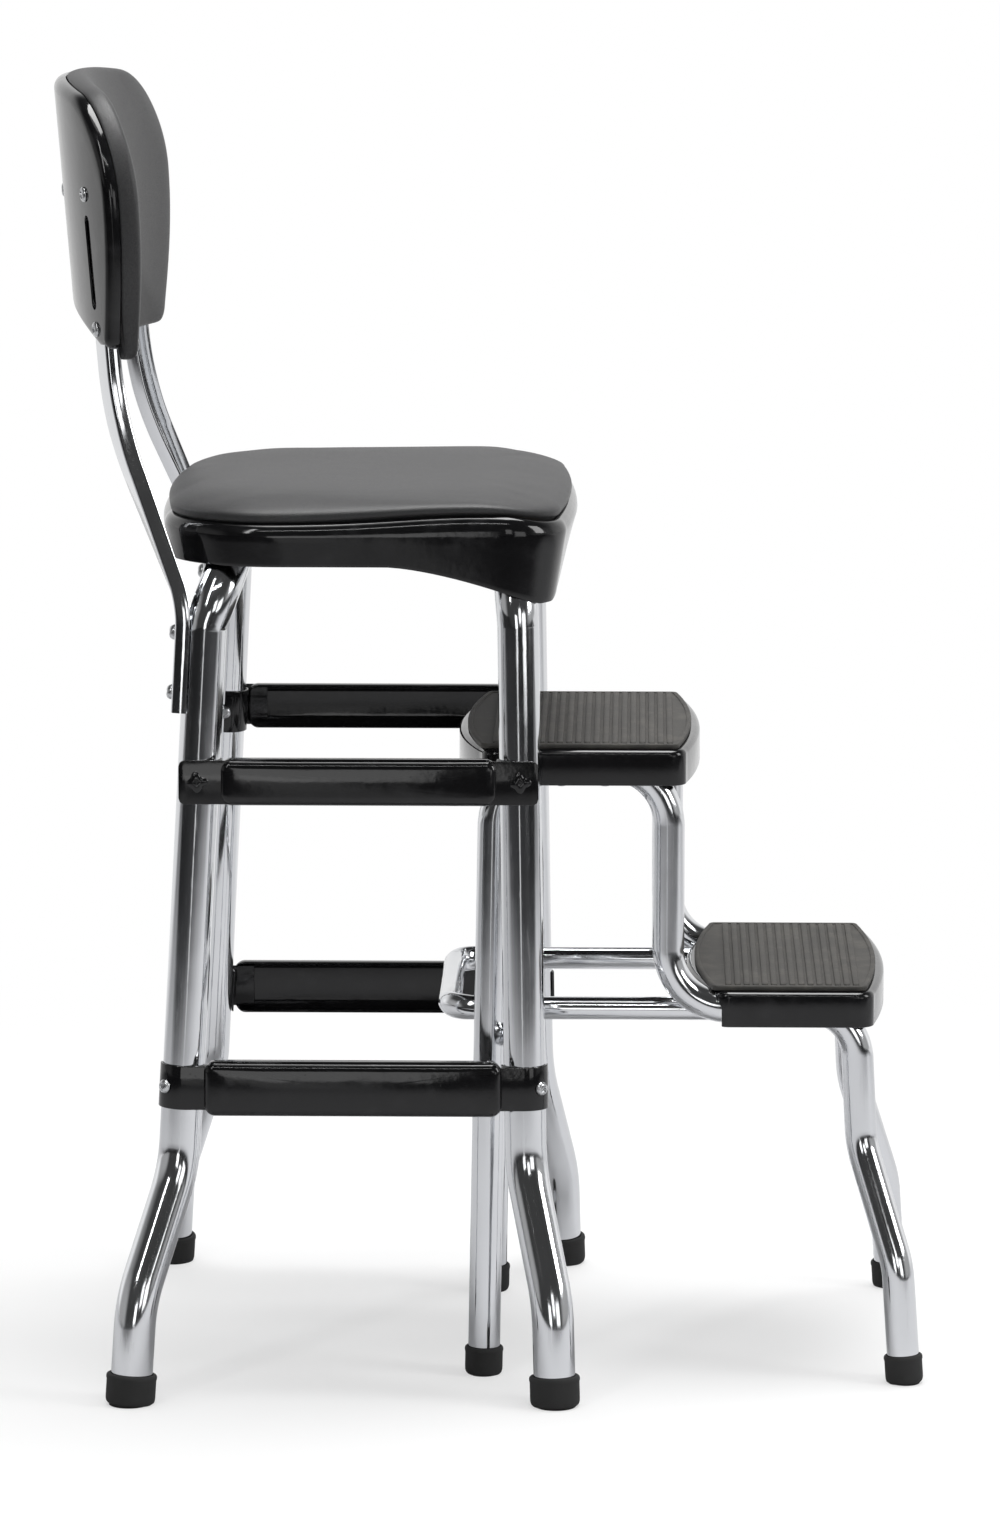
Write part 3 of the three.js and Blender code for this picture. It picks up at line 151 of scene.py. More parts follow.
class Shader:
    """The node tree of one material or world."""

    def __init__(self, owner: "bpy.types.Material | bpy.types.World") -> None:
        """Starts an empty tree.

        Args:
            owner: What the nodes belong to.
        """
        owner.use_nodes = True
        self.tree = owner.node_tree
        self.tree.nodes.clear()

    def node(self, kind: str, settings: dict | None = None, sockets: dict | None = None,
             out: int | str = 0) -> Value:
        """Adds a node.

        Args:
            kind: The node's type.
            settings: Its properties, which are set first.
            sockets: Numbers, tuples or values for its inputs, by name or place.
            out: The output to return.

        Returns:
            The chosen output.
        """
        made = self.tree.nodes.new(kind)
        for name, setting in (settings or {}).items():
            setattr(made, name, setting)
        for name, given in (sockets or {}).items():
            if isinstance(given, Value):
                self.tree.links.new(given.socket, made.inputs[name])
            else:
                made.inputs[name].default_value = given
        return Value(self, made.outputs[out])

    def where(self) -> Value:
        """The place on the piece, in metres."""
        return self.node("ShaderNodeTexCoord", out="Object")

    def axis(self, vector: Value, name: str) -> Value:
        """One axis of a vector, by its letter."""
        return self.node("ShaderNodeSeparateXYZ", None, {0: vector}, out=name)

    def ray(self, kind: str) -> Value:
        """One on rays of a kind, such as Camera, and zero on others."""
        return self.node("ShaderNodeLightPath", out=f"Is {kind} Ray")

    def mixed(self, share: Value, first: Value, second: Value) -> Value:
        """The first surface where a share is zero, and the second where it is one."""
        return self.node("ShaderNodeMixShader", None, {0: share, 1: first, 2: second})

    def noise(self, scale: float, detail: float = 3, stretch: tuple = (1, 1, 1),
              rough: float = 0.5) -> Value:
        """Cloudy noise from zero to one.

        Args:
            scale: Clouds to the metre.
            detail: Octaves.
            stretch: How much finer it is along each axis.
            rough: How strong the finer octaves are.

        Returns:
            The noise.
        """
        place = self.node("ShaderNodeVectorMath", {"operation": "MULTIPLY"},
                          {0: self.where(), 1: stretch})
        return self.node("ShaderNodeTexNoise", None,
                         {"Vector": place, "Scale": scale, "Detail": detail, "Roughness": rough})

    def cells(self, scale: float, feature: str = "F1") -> Value:
        """Distance inside random cells, so many to the metre."""
        return self.node("ShaderNodeTexVoronoi", {"feature": feature},
                         {"Vector": self.where(), "Scale": scale})

    def blend(self, share: Value, low: tuple, high: tuple) -> Value:
        """A colour between two others, the first where a share is zero."""
        return self.node("ShaderNodeMix", {"data_type": "RGBA"},
                         {0: share, 6: (*low, 1), 7: (*high, 1)}, out=2)

    def bumps(self, *layers: tuple[Value, float, float]) -> Value:
        """A surface raised by layers of relief, one upon another.

        Args:
            layers: Each one's height from zero to one, how high one is in metres, and how
                much of it shows.

        Returns:
            The normal.
        """
        normal = {}
        for height, distance, strength in layers:
            sockets = {"Height": height, "Distance": distance, "Strength": strength, **normal}
            normal = {"Normal": self.node("ShaderNodeBump", None, sockets)}
        return normal["Normal"]

    def finish(self, **sockets: "Value | Number | tuple") -> None:
        """Ends a material in one Principled surface.

        Args:
            sockets: Its inputs, with underscores for spaces.
        """
        named = {name.replace("_", " "): given for name, given in sockets.items()}
        surface = self.node("ShaderNodeBsdfPrincipled", None, named)
        self.node_out("ShaderNodeOutputMaterial", surface)

    def node_out(self, kind: str, surface: Value) -> None:
        """Adds the material's or world's output node."""
        made = self.tree.nodes.new(kind)
        self.tree.links.new(surface.socket, made.inputs["Surface"])


# Finishes


@dataclass(frozen=True)
class Finish:
    """A surface and the record's slot for it."""

    name: str
    slot: Slot

    def material(self) -> bpy.types.Material:
        """Makes the material, or finds it if it is made already.

        Returns:
            The material.
        """
        found = bpy.data.materials.get(self.name)
        if found:
            return found
        made = bpy.data.materials.new(self.name)
        self.shade(Shader(made))
        return made

    def shade(self, shader: Shader) -> None:
        """Builds the nodes of a finish."""
        raise NotImplementedError


@dataclass(frozen=True)
class Chrome(Finish):
    """Bright plating on drawn tube: clean, with slight waves and hairline scratches."""

    tint: tuple = (0.80, 0.81, 0.825)
    dull: tuple = (0.66, 0.675, 0.70)
    roughness: float = 0.075

    def shade(self, shader: Shader) -> None:
        """Builds the nodes.

        Args:
            shader: The material's node tree.
        """
        clouds = shader.noise(14, 3)
        smears = shader.noise(55, 4, (1, 1, 0.35))
        hairs = shader.noise(900, 2, (1, 1, 0.04)).between(0.56, 0.74)
        waves = shader.noise(38, 1.5, (1, 1, 0.5))
        pits = shader.cells(420).between(0.09, 0.02) * shader.noise(30).between(0.52, 0.7)
        shader.finish(
            Base_Color=shader.blend((clouds * 0.6 + pits * 0.5).clamped(), self.tint, self.dull),
            Metallic=1.0,
            Roughness=(self.roughness + smears.between(0.35, 0.8) * 0.07 + hairs * 0.05
                       + pits * 0.2).clamped(),
            Normal=shader.bumps((waves, 0.00035, 0.35), (hairs, 0.00002, 0.35),
                                (pits, 0.00004, 0.5)),
        )


@dataclass(frozen=True)
class ScrewSteel(Finish):
    """Zinc-plated screws."""

    tint: tuple = (0.62, 0.63, 0.64)
    dark: tuple = (0.34, 0.34, 0.35)

    def shade(self, shader: Shader) -> None:
        """Builds the nodes.

        Args:
            shader: The material's node tree.
        """
        clouds = shader.noise(260, 3)
        grain = shader.noise(1600, 2)
        shader.finish(
            Base_Color=shader.blend(clouds.between(0.4, 0.75), self.tint, self.dark),
            Metallic=1.0,
            Roughness=0.2 + clouds * 0.2,
            Normal=shader.bumps((grain, 0.00003, 0.6)),
        )


@dataclass(frozen=True)
class Enamel(Finish):
    """Baked gloss enamel on pressed steel, with a fine orange peel."""

    colour: tuple = (0.0055, 0.0055, 0.006)
    worn: tuple = (0.012, 0.012, 0.013)

    def shade(self, shader: Shader) -> None:
        """Builds the nodes.

        Args:
            shader: The material's node tree.
        """
        peel = shader.noise(210, 2)
        ripples = shader.noise(34, 1.5)
        specks = shader.cells(160).between(0.11, 0.05)
        dust = shader.noise(70, 4).between(0.5, 0.85)
        shader.finish(
            Base_Color=shader.blend(dust, self.colour, self.worn),
            Roughness=0.09 + dust * 0.13,
            IOR=1.42,
            Coat_Weight=0.12 + dust * 0.1,
            Coat_Roughness=0.05,
            Normal=shader.bumps((ripples, 0.0009, 0.22), (peel, 0.00008, 0.5),
                                (specks, 0.00005, 0.4)),
        )


@dataclass(frozen=True)
class Vinyl(Finish):
    """Upholstery vinyl with a fine leather grain and a satin sheen."""

    colour: tuple = (0.016, 0.016, 0.017)
    rubbed: tuple = (0.034, 0.034, 0.035)

    def shade(self, shader: Shader) -> None:
        """Builds the nodes.

        Args:
            shader: The material's node tree.
        """
        grain = shader.cells(780, "DISTANCE_TO_EDGE").between(0.0, 0.22)
        pebbles = shader.noise(1250, 3)
        clouds = shader.noise(17, 4)
        soft = shader.noise(45, 2)
        height = grain * 0.6 + pebbles * 0.4
        shader.finish(
            Base_Color=shader.blend((clouds * 0.7 + grain * 0.3).between(0.3, 0.8),
                                    self.colour, self.rubbed),
            Roughness=0.43 + clouds * 0.1 + (1 - grain) * 0.06,
            IOR=1.5,
            Sheen_Weight=0.06,
            Sheen_Roughness=0.4,
            Normal=shader.bumps((soft, 0.0012, 0.18), (height, 0.00012, 0.55)),
        )


@dataclass(frozen=True)
class Rubber(Finish):
    """Moulded rubber: matt, slightly dusty."""

    colour: tuple = (0.02, 0.02, 0.02)
    dusty: tuple = (0.045, 0.044, 0.042)
    roughness: float = 0.6

    def shade(self, shader: Shader) -> None:
        """Builds the nodes.

        Args:
            shader: The material's node tree.
        """
        dust = shader.noise(60, 5, rough=0.65)
        grit = shader.noise(1700, 3)
        scuffs = shader.noise(300, 4, (0.25, 1, 1)).between(0.58, 0.8)
        shader.finish(
            Base_Color=shader.blend((dust.between(0.38, 0.75) * 0.8 + scuffs * 0.5).clamped(),
                                    self.colour, self.dusty),
            Roughness=self.roughness + dust * 0.2,
            Normal=shader.bumps((grit, 0.00009, 0.6)),
        )


@dataclass(frozen=True)
class Board(Finish):
    """Plain beech plywood, with its grain across the chair."""

    pale: tuple = (0.50, 0.34, 0.19)
    dark: tuple = (0.30, 0.18, 0.09)

    def shade(self, shader: Shader) -> None:
        """Builds the nodes.

        Args:
            shader: The material's node tree.
        """
        grain = shader.noise(90, 5, (1, 0.06, 1))
        fibres = shader.noise(700, 3, (1, 0.05, 1))
        shader.finish(
            Base_Color=shader.blend(grain.between(0.35, 0.7), self.pale, self.dark),
            Roughness=0.6 + fibres * 0.2,
            Normal=shader.bumps((fibres, 0.0001, 0.5)),
        )


CHROME = Chrome("chrome_plate", Slot.CHROME)
BRIGHT = Chrome("chrome_plate_step", Slot.CHROME, roughness=0.085)
SCREW = ScrewSteel("zinc_screw", Slot.SCREW)
ENAMEL = Enamel("gloss_enamel", Slot.ENAMEL)
VINYL = Vinyl("grained_vinyl", Slot.VINYL)
TREAD = Rubber("ribbed_rubber", Slot.TREAD, (0.035, 0.033, 0.030), (0.075, 0.070, 0.062), 0.62)
FOOT = Rubber("foot_rubber", Slot.FOOT, (0.011, 0.0115, 0.012), (0.022, 0.022, 0.022), 0.5)
WOOD = Board("plywood", Slot.WOOD)


# Forms


@dataclass
class Form:
    """A mesh in the making, in millimetres from the front feet."""

    points: list[Vector] = field(default_factory=list)
    faces: list[tuple[int, ...]] = field(default_factory=list)

    def join(self, *others: "Form") -> "Form":
        """Adds other forms' points and faces to this one.

        Args:
            others: The other forms.

        Returns:
            This form.
        """
        for other in others:
            start = len(self.points)
            self.points += other.points
            self.faces += [tuple(start + i for i in face) for face in other.faces]
        return self

    def moved(self, matrix: Matrix) -> "Form":
        """A copy moved by a matrix."""
        return Form([matrix @ point for point in self.points], list(self.faces))

    def shaped(self, change: Callable[[Vector], Vector]) -> "Form":
        """A copy with each point changed."""
        return Form([change(point) for point in self.points], list(self.faces))


def in_metres(point: Vector) -> Vector:
    """A point of a form, in the frame."""
    return Vector((point.x * MM + FRONT_FEET, point.y * MM, point.z * MM))


def unit(number: float) -> float:
    """Keeps a number between zero and one."""
    return min(1.0, max(0.0, number))


def turns(steps: int, sweep: float = 2 * math.pi) -> list[float]:
    """Even angles from zero through a sweep, with both ends."""
    return [sweep * i / steps for i in range(steps + 1)]


def added(name: str, data: bpy.types.ID) -> bpy.types.Object:
    """Makes an object of a mesh, camera or lamp and adds it to the scene.

    Args:
        name: The object's name.
        data: What it shows.

    Returns:
        The object.
    """
    made = bpy.data.objects.new(name, data)
    bpy.context.scene.collection.objects.link(made)
    return made


def aim(made: bpy.types.Object, way: Vector) -> None:
    """Points a camera or lamp in a direction."""
    made.rotation_euler = way.to_track_quat("-Z", "Y").to_euler()


def new_object(name: str, form: Form) -> bpy.types.Object:
    """Makes an object with its faces turned outwards.

    Args:
        name: The object's name.
        form: Its mesh.

    Returns:
        The object.
    """
    mesh = bpy.data.meshes.new(name)
    mesh.from_pydata([in_metres(point) for point in form.points], [], form.faces)
    mesh.validate()
    made = added(name, mesh)
    grid = bmesh.new()
    grid.from_mesh(mesh)
    bmesh.ops.remove_doubles(grid, verts=grid.verts, dist=0.02 * MM)
    bmesh.ops.recalc_face_normals(grid, faces=grid.faces)
    grid.to_mesh(mesh)
    grid.free()
    return made


def smooth(made: bpy.types.Object, angle: float = 38) -> None:
    """Shades an object smooth, apart from edges sharper than an angle in degrees."""
    made.data.polygons.foreach_set("use_smooth", [True] * len(made.data.polygons))
    made.data.set_sharp_from_angle(angle=math.radians(angle))


def dress(made: bpy.types.Object, body: Body, finish: Finish, *nodes: str) -> bpy.types.Object:
    """Gives a piece its finish, its body and the nodes that it stands for.

    Args:
        made: The piece.
        body: What it moves with.
        finish: Its surface.
        nodes: The nodes that it replaces.

    Returns:
        The piece.
    """
    made.data.materials.clear()
    made.data.materials.append(finish.material())
    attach(made, body.value)
    if nodes:
        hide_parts(*nodes)
    log.info("%s: %d faces, %s", made.name, len(made.data.polygons), finish.name)
    return made


def piece(name: str, form: Form, body: Body, finish: Finish, *nodes: str,
          angle: float = 38) -> bpy.types.Object:
    """Makes and dresses a piece.

    Args:
        name: Its name.
        form: Its mesh.
        body: What it moves with.
        finish: Its surface.
        nodes: The nodes that it replaces.
        angle: Edges sharper than this, in degrees, stay sharp.

    Returns:
        The piece.
    """
    made = new_object(name, form)
    smooth(made, angle)
    return dress(made, body, finish, *nodes)


def loft(rings: Sequence[Sequence[Vector]], first: Vector | None = None,
         last: Vector | None = None, ends: bool = True) -> Form:
    """Joins rings of equal count with quads.

    Args:
        rings: The rings, in order.
        first: The middle of a fan that closes the first ring, or None for one face.
        last: The same for the last ring.
        ends: False where both ends stay open.

    Returns:
        The form.
    """
    count = len(rings[0])
    form = Form([point.copy() for ring in rings for point in ring])
    for r in range(len(rings) - 1):
        for i in range(count):
            j = (i + 1) % count
            form.faces.append((r * count + i, r * count + j, (r + 1) * count + j,
                               (r + 1) * count + i))
    if not ends:
        return form
    for start, centre in ((0, first), ((len(rings) - 1) * count, last)):
        if centre is None:
            form.faces.append(tuple(range(start, start + count)))
            continue
        form.points.append(centre.copy())
        middle = len(form.points) - 1
        form.faces += [(middle, start + i, start + (i + 1) % count) for i in range(count)]
    return form


def lathe(profile: Sequence[tuple[float, float]], sides: int = 40) -> Form:
    """Turns a profile round the z axis.

    Args:
        profile: Radii and heights, starting and ending on the axis.
        sides: How many sides.

    Returns:
        The form.
    """
    around = turns(sides)[:-1]
    rings = [[Vector((r * math.cos(a), r * math.sin(a), z)) for a in around]
             for r, z in profile[1:-1]]
    low, high = (Vector((0, 0, z)) for _, z in (profile[0], profile[-1]))
    return loft(rings, low, high)


@dataclass
class Station:
    """A place along a bent tube."""

    point: Vector
    along: Vector
    bend: float = 0.0
    inward: Vector = field(default_factory=Vector)


def bent_path(corners: Sequence[Vector], radii: Sequence[float],
              step: float = 3.0) -> list[Station]:
    """Rounds the corners of a line.

    Args:
        corners: Its corners, with both ends.
        radii: The bend radius at each inner corner.
        step: Degrees between stations in a bend.

    Returns:
        The stations.
    """
    stations = [Station(corners[0].copy(), (corners[1] - corners[0]).normalized())]
    for i, radius in enumerate(radii, 1):
        into = (corners[i] - corners[i - 1]).normalized()
        out = (corners[i + 1] - corners[i]).normalized()
        turn = into.angle(out)
        start = corners[i] - into * radius * math.tan(turn / 2)
        centre = corners[i] + (out - into).normalized() * radius / math.cos(turn / 2)
        spoke = (start - centre) / radius
        steps = max(4, math.ceil(math.degrees(turn) / step))
        for k in range(steps + 1):
            angle = turn * k / steps
            out_way = spoke * math.cos(angle) + into * math.sin(angle)
            along = into * math.cos(angle) - spoke * math.sin(angle)
            bend = math.sin(math.pi * k / steps) ** 0.7 * min(1.0, turn * 1.2)
            stations.append(Station(centre + out_way * radius, along, bend, -out_way))
    last = corners[-1]
    stations.append(Station(last.copy(), (last - corners[-2]).normalized()))
    return stations


def square_to(axis: Vector, way: Vector) -> Vector:
    """A direction turned square to an axis."""
    return (way - axis * way.dot(axis)).normalized()


@dataclass
class Tube:
    """Drawn tube, a little flattened and widened where it is bent."""

    stations: list[Station]
    radius: float
    wall: float = 1.2
    sides: int = 40
    flat: float = 0.055
    wide: float = 0.03

    def rings(self, radius: float) -> list[list[Vector]]:
        """Rings at a radius, one at each station.

        Args:
            radius: The radius.

        Returns:
            The rings.
        """
        side = self.stations[0].along.orthogonal().normalized()
        rings = []
        for station in self.stations:
            side = square_to(station.along, side)
            other = station.along.cross(side)
            beside = station.along.cross(station.inward)
            ring = []
            for angle in turns(self.sides)[:-1]:
                way = side * math.cos(angle) + other * math.sin(angle)
                squash = station.inward * way.dot(station.inward) * self.flat * station.bend
                widen = beside * way.dot(beside) * self.wide * station.bend
                ring.append(station.point + (way - squash + widen) * radius)
            rings.append(ring)
        return rings

    def form(self, plug: float = 25.0) -> Form:
        """The tube, open at its ends down to a plug inside.

        Args:
            plug: How deep the plug is.

        Returns:
            The form.
        """
        outer = self.rings(self.radius)
        bore = self.radius - self.wall
        rim = [self.rings(bore)[i] for i in (0, -1)]
        start, end = self.stations[0], self.stations[-1]
        inside = [[point + start.along * plug for point in rim[0]],
                  [point - end.along * plug for point in rim[1]]]
        return loft([inside[0], rim[0], *outer, rim[1], inside[1]])


@dataclass
class Edge:
    """A point of an outline and the way out of it."""

    point: Vector
    outward: Vector


def mirrored(half: Sequence[tuple[float, float]]) -> list[Edge]:
    """Both halves of an outline from its half at positive y.

    Args:
        half: Points from one end of the middle line to the other.

    Returns:
        The outline.
    """
    other = [(x, -y) for x, y in reversed(half[1:-1])]
    points = [Vector((x, y)) for x, y in [*half, *other]]
    edges = []
    for i, point in enumerate(points):
        along = (points[(i + 1) % len(points)] - points[i - 1]).normalized()
        edges.append(Edge(point, Vector((along.y, -along.x))))
    return edges


def oblong(rear: float, front: float, half_width: float, rear_corner: float,
           front_corner: float, rear_bow: float = 0, front_bow: float = 0,
           fine: int = 12) -> list[Edge]:
    """A rounded oblong seen from above, with its ends bowed outwards.

    Args:
        rear: Its rearmost x.
        front: Its foremost x.
        half_width: Half its width.
        rear_corner: Radius of the rear corners.
        front_corner: Radius of the front corners.
        rear_bow: How far the rear end bows out.
        front_bow: How far the front end bows out.
        fine: Steps to each stretch.

    Returns:
        The outline.
    """
    front_flat, rear_flat = half_width - front_corner, half_width - rear_corner
    front_centre = front - front_bow - front_corner
    rear_centre = rear + rear_bow + rear_corner
    half = [(front - front_bow * (i / fine) ** 2, front_flat * i / fine) for i in range(fine)]
    for angle in turns(fine, QUARTER):
        half.append((front_centre + front_corner * math.cos(angle),
                     front_flat + front_corner * math.sin(angle)))
    half += [(front_centre + (rear_centre - front_centre) * i / fine, half_width)
             for i in range(1, fine)]
    for i in range(fine + 1):
        angle = QUARTER * (1 + i / fine)
        half.append((rear_centre + rear_corner * math.cos(angle),
                     rear_flat + rear_corner * math.sin(angle)))
    half += [(rear + rear_bow * (1 - i / fine) ** 2, rear_flat * (1 - i / fine))
             for i in range(1, fine + 1)]
    return mirrored(half)


def ring(outline: Sequence[Edge], inset: Measure, level: Measure, share: float = 1.0,
         centre: Vector | None = None) -> list[Vector]:
    """One ring of an outline, at a level.

    Args:
        outline: The outline.
        inset: How far it is drawn in, or a function of a point and its outward way.
        level: Its height, or such a function.
        share: How much of its distance from the centre it keeps.
        centre: The centre.

    Returns:
        The ring.
    """
    points = []
    for edge in outline:
        drawn = edge.point - edge.outward * (inset(edge.point, edge.outward)
                                             if callable(inset) else inset)
        if centre is not None:
            drawn = centre + (drawn - centre) * share
        height = level(drawn, edge.outward) if callable(level) else level
        points.append(Vector((drawn.x, drawn.y, height)))
    return points


def rolled(radius: float, steps: int = 6) -> list[tuple[float, float]]:
    """A quarter round from the top inwards, as pairs of inset and drop."""
    return [(radius * (1 - math.sin(a)), radius * (1 - math.cos(a)))
            for a in turns(steps, QUARTER)]


def tray(outline: Sequence[Edge], roll: float, sheet: float, depth: Measure,
         centre: Vector) -> list[list[Vector]]:
    """The rings of a tray pressed from sheet, from the middle of its top round its hem.

    Args:
        outline: Its outline.
        roll: Radius of its rolled edge.
        sheet: Thickness of the sheet.
        depth: How far down its skirt reaches, or a function of a point and its way out.
        centre: The middle of the tray.

    Returns:
        The rings, plate at level zero.
    """
    def below(offset: float) -> Measure:
        """A level above the hem's lowest edge."""
        return lambda p, o: offset - (depth(p, o) if callable(depth) else depth)

    fine = rolled(roll)
    outer = [ring(outline, roll, 0, share, centre) for share in (0.55, 0.9, 1.0)]
    outer += [ring(outline, inset, -drop) for inset, drop in fine[1:]]
    hem = [ring(outline, sheet * inset, below(sheet * lift))
           for inset, lift in ((0, 0.6), (0.12, 0.2), (0.5, 0), (0.88, 0.2), (1, 0.6))]
    inner = [ring(outline, inset + sheet, -drop - sheet * drop / roll)
             for inset, drop in reversed(fine[1:])]
    inner += [ring(outline, roll + sheet, -sheet, share, centre) for share in (1.0, 0.9, 0.55)]
    return [*outer, *hem, *inner]


def turned_to(way: Vector) -> Matrix:
    """Turns the z axis to a direction."""
    return UP.rotation_difference(way).to_matrix().to_4x4()


def carved(made: bpy.types.Object, cutters: Sequence[Form]) -> None:
    """Cuts forms out of an object.

    Args:
        made: The object.
        cutters: Closed forms, none touching another.
    """
    tool = new_object("cutter", Form().join(*cutters))
    cut = made.modifiers.new("cut", "BOOLEAN")
    cut.operation = "DIFFERENCE"
    cut.solver = "EXACT"
    cut.object = tool
    settle(made)
    bpy.data.objects.remove(tool)


def settle(made: bpy.types.Object) -> None:
    """Turns an object's modifiers into its mesh.

    Args:
        made: The object.
    """
    graph = bpy.context.evaluated_depsgraph_get()
    graph.update()
    mesh = bpy.data.meshes.new_from_object(made.evaluated_get(graph))
    made.modifiers.clear()
    made.data = mesh


# Fastenings


@dataclass
class Screw:
    """A domed screw with a crossed recess."""

    head: float
    rise: float
    shank: float
    shank_radius: float = 2.0
    recess_share: float = 0.56
    recess_depth: float = 0.75
    blade_share: float = 0.13
    sides: int = 48

    def form(self, seat: Vector, facing: Vector, turn: float = 0.3) -> Form:
        """The screw, its head's seat at a point.

        Args:
            seat: Where the head sits.
            facing: Which way the head looks.
            turn: How far round the recess is turned, in radians.

        Returns:
            The form.
        """
        around = turns(self.sides)[:-1]
        levels = [(1.0, 0.0), (1.0, 0.18), (0.97, 0.34), (0.9, 0.55), (0.78, 0.74),
                  (0.68, 0.84), (0.6, 0.89), (0.52, 0.92), (0.44, 0.95), (0.36, 0.97),
                  (0.28, 0.98), (0.2, 0.99), (0.12, 1.0), (0.05, 1.0)]
        rings = [[Vector((self.shank_radius * math.cos(a), self.shank_radius * math.sin(a), z))
                  for a in around] for z in (-self.shank, 0)]
        for r, z in levels:
            row = []
            for a in around:
                x, y = r * math.cos(a), r * math.sin(a)
                row.append(Vector((x * self.head, y * self.head,
                                   self.rise * (z - self.recess(x, y)))))
            rings.append(row)
        top = Vector((0, 0, self.rise * (1 - self.recess(0, 0))))
        form = loft(rings, Vector((0, 0, -self.shank)), top)
        place = Matrix.Translation(seat) @ turned_to(facing) @ Matrix.Rotation(turn, 4, "Z")
        return form.moved(place)

    def recess(self, x: float, y: float) -> float:
        """How deep the crossed recess is at a place on the head.

        Args:
            x: One way from its middle, as a share of its radius.
            y: The other way.

        Returns:
            The depth, as a share of the head's rise.
        """
        long, short = max(abs(x), abs(y)), min(abs(x), abs(y))
        slope = max(0.0, 1 - long / self.recess_share)
        wall = unit((self.blade_share * 1.7 - short) / (self.blade_share * 0.7))
        return self.recess_depth * wall * slope ** 0.6

    def fit(self, name: str, body: Body, seat: Vector, facing: Vector, turn: float) -> None:
        """Makes the screw that stands for the node of the same name."""
        piece(f"{name}_dressed", self.form(seat, facing, turn), body, SCREW, name, angle=32)


@dataclass
class FootCap:
    """A rubber cap pushed on a tube and flat on the floor."""

    tube_radius: float
    wall: float
    height: float
    floor: float = 4.5

    def form(self, foot: Vector, following: Vector) -> Form:
        """The cap.

        Args:
            foot: The middle of its floor.
            following: The next corner of the tube.

        Returns:
            The form.
        """
        bore = self.tube_radius + GAP
        outer = bore + self.wall
        height = self.height
        profile = [(0, -6), (outer - 3, -6), (outer - 3, -0.5), (outer - 1.7, 0.3),
                   (outer - 0.6, 1.5), (outer - 0.1, 3.2), (outer, 5.5), (outer, height - 4.2),
                   (outer + 0.3, height - 3.4), (outer + 0.4, height - 2.2),
                   (outer + 0.15, height - 1), (outer - 0.6, height - 0.25),
                   (outer - 1.4, height), (bore + 0.5, height), (bore, height - 0.6),
                   (bore, self.floor - GAP), (0, self.floor - GAP)]
        form = lathe(profile, 48)
        form = form.moved(Matrix.Translation(foot) @ turned_to((following - foot).normalized()))
        return form.shaped(lambda p: Vector((p.x, p.y, max(p.z, 0))))

    def fit(self, name: str, body: Body, foot: Vector, following: Vector) -> None:
        """Makes the cap that stands for the node of the same name."""
        piece(f"{name}_moulding", self.form(foot, following), body, FOOT, name)


# The chair's frame


@dataclass
class LegLoop:
    """One tube bent into a pair of legs and the bar that joins them under the seat."""

    name: str
    end: str
    setbacks: tuple[float, float, float, float, float]
    foot_half_spread: float = 206.5
    knee_low_height: float = 70
    knee_low_half_spread: float = 201
    knee_high_height: float = 156
    knee_high_half_spread: float = 164.1
    shoulder_height: float = 531
    shoulder_half_spread: float = 149.7
    bar_height: float = 578
    bar_half_spread: float = 146.5
    radius: float = 14.3
    wall: float = 1.4
    knee_radius: float = 90
    shoulder_radius: float = 24
    corner_radius: float = 43
    cap: FootCap = field(default_factory=lambda: FootCap(14.3, 2.5, 21))

    def corners(self, side: int = 1) -> list[Vector]:
        """The corners of one leg, from its foot to the bar.

        Args:
            side: -1 right, 1 left.

        Returns:
            The corners.
        """
        spreads = (self.foot_half_spread, self.knee_low_half_spread,
                   self.knee_high_half_spread, self.shoulder_half_spread, self.bar_half_spread)
        heights = (0, self.knee_low_height, self.knee_high_height, self.shoulder_height,
                   self.bar_height)
        return [Vector((-x, side * y, z)) for x, y, z in zip(self.setbacks, spreads, heights)]

    def at(self, height: float, side: int) -> Vector:
        """The middle of a leg's straight part at a height."""
        _, _, low, high, _ = self.corners(side)
        return low.lerp(high, (height - low.z) / (high.z - low.z))

    def way(self, side: int) -> Vector:
        """The way up a leg's straight part."""
        _, _, low, high, _ = self.corners(side)
        return (high - low).normalized()

    def build(self) -> None:
        """Makes the tube and its two foot caps."""
        half = self.corners()
        start = half[0] + (half[1] - half[0]).normalized() * self.cap.floor
        one = [start, *half[1:]]
        other = [Vector((p.x, -p.y, p.z)) for p in reversed(one)]
        radii = [self.knee_radius, self.knee_radius, self.shoulder_radius, self.corner_radius]
        tube = Tube(bent_path([*one, *other], [*radii, *reversed(radii)]), self.radius,
                    self.wall)
        piece(f"{self.name}_tube", tube.form(), Body.CHAIR, CHROME, self.name)
        for side, word in SIDES:
            foot, knee = self.corners(side)[:2]
            self.cap.fit(f"{self.end}_{word}_foot_cap", Body.CHAIR, foot, knee)


def front_loop() -> LegLoop:
    """The front pair of legs."""
    return LegLoop("front_leg_loop", "front", (0, 2, 20.8, 26.6, 30))


def rear_loop() -> LegLoop:
    """The rear pair of legs."""
    return LegLoop("rear_leg_loop", "rear", (291.5, 287, 259.6, 239.2, 222))


